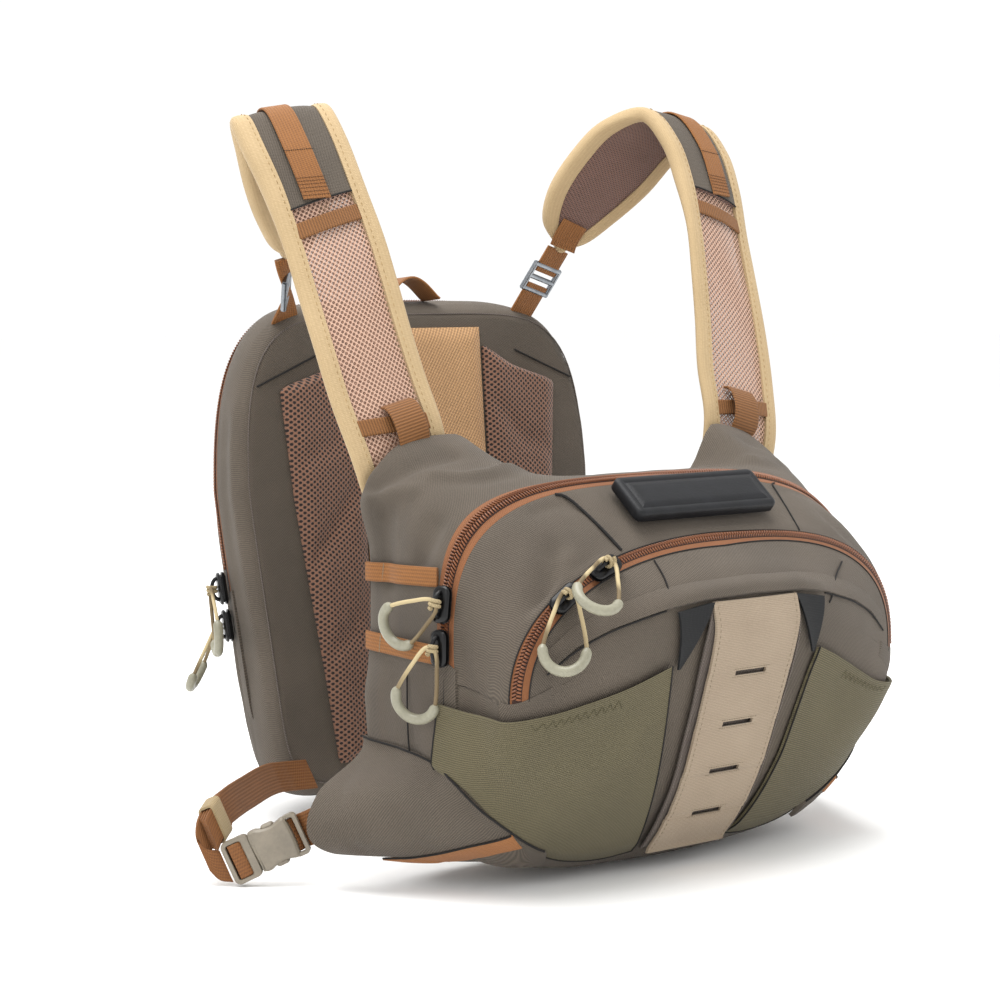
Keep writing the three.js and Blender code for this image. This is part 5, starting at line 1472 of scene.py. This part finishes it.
PRONG = {"out": 11.3, "along": -2.6, "wide": 3.6, "long": 8.4}
FRAME_SHARES = (0.0, 0.12, 0.3, 0.7, 0.88, 1.0)
FRAME_EDGE = 0.8
LOOP_ROUTE = (
    # along the plug, height
    (-6.4, -2.6), (-3.4, -2.9), (-0.6, -1.8), (0.0, 0.6), (-1.4, 2.7), (-4.2, 3.4), (-7.0, 2.6), (-8.2, 0.4),
)
KEEPER = {"at": 41, "wide": 23.0, "tall": 11.0, "half": 5.2, "thick": 1.3}
TAIL = {"from": 32, "to": 48, "gap": 2.3, "layers": 3}
BUCKLE_SKIN = grained("tan_plastic", "6f675a", "82796a", 0.4, 500.0, 0.05)
# The rust webbing made darker for the side straps, their loops and tails: painted shade under the pack.
SHADED_SIDE_WEBBING = cloth("rust_side_webbing_painted_shade", "55300f", "875525", webbing_weave, 0.25, shade=0.3, **WEB_FINISH)
KEEPER_CLOTH = cloth("tan_elastic", "7f6d4f", "a8946f", elastic_weave, 0.25, shade=0.4)


def offset_outline(points, inset):
    """An outline moved inwards by the inset."""
    ahead = np.roll(points, -1, 0) - np.roll(points, 1, 0)
    return points + unit(np.stack([-ahead[:, 1], ahead[:, 0]], 1)) * inset


def moulded(name, outline, levels, place, axes):
    """A moulded body with any outline: it is stacked by inset and height."""
    rings = [place + offset_outline(outline, inset) @ axes[:2] + height * axes[2] for inset, height in levels]
    return sweep(name, rings, sharp=40.0)


def moulded_frame(name, outer, inner, half, place, axes):
    """A flat frame round a slot, its edges eased."""
    faces = []
    for way in (1.0, -1.0):
        rows = []
        for share in FRAME_SHARES:
            ease = FRAME_EDGE if share in (0.0, 1.0) else 0.0
            flat = outer + (inner - outer) * share
            rows.append(place + flat @ axes[:2] + way * (half - ease) * axes[2])
        faces.append(np.array(rows))
    return panel(name, faces[0], faces[1], ring=True, sharp=40.0)


for side, side_name in SIDES:
    flip = np.array([side, 1.0, 1.0])
    line = smooth_line(SIDE_STRAP, 10) * flip
    root = np.vstack([np.array(STRAP_ROOT) * flip, line[6:]])
    ribbon("side_strap_%s_web" % side_name, root, SIDE_ACROSS * flip * side, WEB_WIDE, material=SHADED_SIDE_WEBBING,
           nodes=("side_strap_" + side_name,))
    along = unit(BUCKLE_ALONG * flip)
    wide = unit(SIDE_ACROSS * flip - along * (SIDE_ACROSS * flip @ along))
    up = np.cross(wide, along) * side
    axes = np.array([wide, along, up])
    plug_at = BUCKLE_AT * flip + along * (BUCKLE["split"] - BUCKLE["plug_back"])
    socket_at = BUCKLE_AT * flip + along * (BUCKLE["split"] + BUCKLE["socket_ahead"])

    # The plug's frame, and the webbing that is looped round its bar.
    outer = rounded_outline(BUCKLE["wide"], BUCKLE["plug"], 3.4)
    inner = rounded_outline(20.8, 9.0, 1.4) - np.array([0.0, 1.2])
    plug_half = BUCKLE["plug_thick"] / 2
    plug = moulded_frame("buckle_plug_%s_body" % side_name, outer, inner, plug_half, plug_at, axes)
    fasten(plug, [BUCKLE_SKIN], "buckle", "buckle_plug_" + side_name)
    loop = smooth_line([plug_at + along * (a * 1.25 + 3.6) + up * h for a, h in LOOP_ROUTE], 5)
    ribbon("side_strap_%s_loop" % side_name, loop, wide, 20.6, pitch=1.0, material=SHADED_SIDE_WEBBING)

    # The socket, with the plug's prongs in its side openings and a frame for the wing's webbing.
    half = BUCKLE["thick"] / 2
    rim = list(SOCKET_SIDE) + [(-x, y) for x, y in SOCKET_SIDE[::-1]]
    outline = even_line(smooth_line(rim + rim[:1], 6), 0.9)[:-1]
    levels = ((1.8, -half), (0.5, -half + 1.1), (0.0, 0.0), (0.5, half - 1.1), (1.8, half), (3.2, half + 0.2))
    socket = moulded("buckle_socket_%s_body" % side_name, outline, levels, socket_at, axes)
    fasten(socket, [BUCKLE_SKIN], "buckle", "buckle_socket_" + side_name)
    for number, way in enumerate((-1, 1)):
        prong_at = socket_at + wide * way * PRONG["out"] + along * PRONG["along"]
        prong = level_block("buckle_prong_%s_%d" % (side_name, number + 1), PRONG["wide"], PRONG["long"], 2.2,
                            ((1.4, -3.2), (0.3, -2.2), (0.0, 0.0), (0.3, 2.2), (1.4, 3.2)), prong_at, axes)
        fasten(prong, [BUCKLE_SKIN], "buckle")
    frame_at = socket_at + along * 10.2
    end_frame = moulded_frame("buckle_end_%s_frame" % side_name, rounded_outline(25.6, 9.6, 3.0),
                              rounded_outline(20.8, 4.2, 1.2), 2.9, frame_at, axes)
    fasten(end_frame, [BUCKLE_SKIN], "buckle")
    start = socket_at + along * 8.6
    short = [
        start + along * t + up * (0.3 + 3.6 * math.exp(-((t - 5.0) / 3.2) ** 2))
        for t in np.linspace(0.0, 18.0, 25)
    ]
    ribbon("wing_strap_%s_web" % side_name, short, wide, WEB_WIDE, pitch=1.2, material=SHADED_SIDE_WEBBING,
           nodes=("wing_strap_" + side_name,))

    # The free tail, folded in layers inside the strap's turn and held by a band.
    across = unit(SIDE_ACROSS * flip)
    ahead = unit(np.gradient(line, axis=0))
    inside = unit(np.cross(np.broadcast_to(across, ahead.shape), ahead))
    inside = inside * np.sign(np.sum(inside * (BUCKLE_AT * flip - line), axis=1))[KEEPER["at"]]
    for layer in range(1, TAIL["layers"] + 1):
        fold = line + inside * TAIL["gap"] * layer
        fold = fold[TAIL["from"] + 2 * layer:TAIL["to"] + layer]
        ribbon("side_tail_%s_%d" % (side_name, layer), fold, across * side, 19.0, pitch=1.5,
               material=SHADED_SIDE_WEBBING)
    spot = line[KEEPER["at"]] + inside[KEEPER["at"]] * TAIL["gap"] * TAIL["layers"] / 2
    box = rounded_outline(KEEPER["wide"], KEEPER["tall"], 3.0)
    rows = np.linspace(-KEEPER["half"], KEEPER["half"], 7)
    hoops = []
    for inset in (0.0, KEEPER["thick"]):
        flat = offset_outline(box, inset)
        hoop = spot + flat[:, :1] * across + flat[:, 1:] * inside[KEEPER["at"]]
        hoops.append(np.array([hoop + ahead[KEEPER["at"]] * step for step in rows]))
    keeper = panel("side_keeper_%s_band" % side_name, hoops[0], hoops[1], ring=True)
    fasten(keeper, [KEEPER_CLOTH], "elastic")

# Zip pulls: glossy black sliders, each with a loop of tan cord hitched to its eye and a moulded grip.
# The grip is a pale C-shaped tube that the cord's bend runs through.
SLIDER = {"long": 21.0, "wide": 11.0, "tall": 5.0, "corner": 4.5}
SEAT = 2.2
EYE = {"rise": 5.0, "ahead": 3.0}
GRIP = {"bend": 12.0, "tube": 6.0, "sweep": 200.0, "reach": 29.0}
CORD_ROUND = 2.4
HITCH = 2.6
CORD_ROUTE = (
    (26.6, 11.75), (24, 11.3), (20.5, 10.6), (16.5, 9.6), (12.5, 8.5), (8.5, 7.3), (4.5, 6.2), (0.8, 5),
    (-2.6, 3.3), (-4.2, 0), (-2.6, -3.3), (0.8, -5), (4.5, -6.2), (8.5, -7.3), (12.5, -8.5), (16.5, -9.6),
    (20.5, -10.6), (24, -11.3), (26.6, -11.75),
)
PULLS = (
    # name, zip, height, hang, face
    ("main_upper", "chest", 160.0, (-0.05, 0.89, -0.45), (-0.85, -0.53, 0.0)),
    ("main_lower", "chest", 136.0, (0.0, 0.42, -0.91), (-0.85, -0.53, 0.0)),
    ("pocket_upper", "pocket", 176.0, (-0.72, -0.5, -0.5), (-0.5, -0.8, 0.35)),
    ("pocket_lower", "pocket", 162.0, (-0.27, -0.2, -0.94), (-0.6, -0.75, 0.3)),
    ("pack_upper", "pack", 139.0, (-0.25, -0.5, -0.83), (-0.9, 0.44, 0.0)),
    ("pack_lower", "pack", 115.0, (-0.15, 0.5, -0.85), (-0.64, 0.77, 0.0)),
)
ZIPS = {
    "chest": (chest_local, CHEST_SECTIONS, CHEST_ZIP["depth"], lambda points: points + CHEST_PLACE),
    "pocket": (chest_local, CHEST_SECTIONS, POCKET_ZIP["depth"], lambda points: points + CHEST_PLACE),
    "pack": (pack_local, PACK_SECTIONS, PACK_ZIP["depth"], on_pack),
}
SLIDER_SKIN = grained("black_slider", "050506", "0d0d0e", 0.28, 700.0, 0.03, Specular_IOR_Level=0.3)
GRIP_SKIN = grained("pale_grip", "7c7968", "918e7b", 0.36, 600.0, 0.05)
CORD_SKIN, tree, shader = bare_material("tan_cord", 0.75)
braid = join(tree, "TexWave", join(tree, "TexCoord"), 40.0, 2.0, 2.0)
tree.links.new(tint(tree, braid, "6b5b40", "b3a27c", 0.2, 0.8), shader.inputs["Base Color"])
for pull_name, zip_name, height, hang, facing in PULLS:
    skin, table, depth, place = ZIPS[zip_name]
    columns = dict(zip(SECTION, np.array(table, float).T))
    mid, top, crown = (float(cubic(columns["depth"], columns[key], depth)) for key in ("mid", "top", "crown"))
    turn = math.pi - math.asin(((height - mid) / (top - mid)) ** (crown / 2))
    foot = skin(turn, depth)
    along = unit(skin(turn - 0.002, depth) - skin(turn + 0.002, depth))
    across = unit(skin(turn, depth + 1.0) - skin(turn, depth - 1.0))
    out = unit(np.cross(along, across))
    out = -out if out[0] > 0 else out
    across = np.cross(out, along)
    middle = foot + out * (SEAT + SLIDER["tall"] / 2)
    u = unit(np.array(hang, float))
    face = np.array(facing, float)
    face = unit(face - u * (face @ u))
    v = np.cross(face, u)
    eye = middle + out * (SLIDER["tall"] / 2 + EYE["rise"]) + u * EYE["ahead"]

    def in_plane(a, b):
        return place(eye + u * a + v * b)

    axes = np.array([place(middle + axis) - place(middle) for axis in (across, along, out)])
    half = SLIDER["tall"] / 2
    levels = (
        (1.0, -half), (0.2, -half + 0.6), (0.0, -half + 1.6), (1.6, -half + 1.9), (1.6, half - 1.9),
        (0.0, half - 1.6), (0.3, half - 0.6), (1.2, half), (3.5, half + 0.2),
    )
    body = level_block("slider_%s_body" % pull_name, SLIDER["wide"], SLIDER["long"], SLIDER["corner"],
                       levels, place(middle), axes)
    fasten(body, [SLIDER_SKIN], "slider", "slider_" + pull_name)
    bow = [place(middle + along * 7.0 * math.cos(t) + out * (half - 0.6 + 4.6 * math.sin(t)))
           for t in np.linspace(0.0, math.pi, 17)]
    bail = round_sweep("slider_%s_bail" % pull_name, bow, 1.3, 8)
    fasten(bail, [SLIDER_SKIN], "slider")
    crown_at = middle + out * (half + 4.0)
    knot = [
        place(crown_at + along * (t / math.pi - 2.0) * 1.2
              + HITCH * (math.cos(t) * out + math.sin(t) * across))
        for t in np.linspace(0, 2 * math.pi * 2, 41)
    ]
    hitch = round_sweep("pull_hitch_%s_turns" % pull_name, knot, CORD_ROUND / 2, 8)
    fasten(hitch, [CORD_SKIN], "cord")
    half_sweep = math.radians(GRIP["sweep"] / 2)
    bend = np.linspace(-half_sweep, half_sweep, 41)
    grip_route = [(GRIP["reach"] + GRIP["bend"] * math.cos(t), GRIP["bend"] * math.sin(t)) for t in bend]
    arc = np.array([in_plane(a, b) for a, b in grip_route])
    from_end = np.minimum(np.arange(41), np.arange(41)[::-1])
    swell = GRIP["tube"] / 2 * np.sqrt(np.clip((from_end + 0.6) / 3.0, 0.0, 1.0))
    grip = round_sweep("pull_grip_%s_tube" % pull_name, arc, swell, 16)
    fasten(grip, [GRIP_SKIN], "grip", "pull_grip_" + pull_name)
    route = [(-4.2, -1.6), *CORD_ROUTE[10:], *grip_route[4:-4:4], *CORD_ROUTE[:9], (-4.2, 1.6)]
    line = even_line(smooth_line([in_plane(a, b) for a, b in route], 8), 1.2) * MM
    curve = bpy.data.curves.new("pull_cord_" + pull_name, "CURVE")
    curve.dimensions = "3D"
    curve.bevel_depth = CORD_ROUND / 2 * MM
    curve.bevel_resolution = 3
    curve.use_fill_caps = True
    spline = curve.splines.new("POLY")
    spline.points.add(len(line) - 1)
    for spot, co in zip(spline.points, line):
        spot.co = (*co, 1.0)
    cord = bpy.data.objects.new("pull_cord_%s_loop" % pull_name, curve)
    scene.collection.objects.link(cord)
    fasten(cord, [CORD_SKIN], "cord", "pull_cord_" + pull_name)
    tuple(line[0])
    float(run_of(line)[-1])
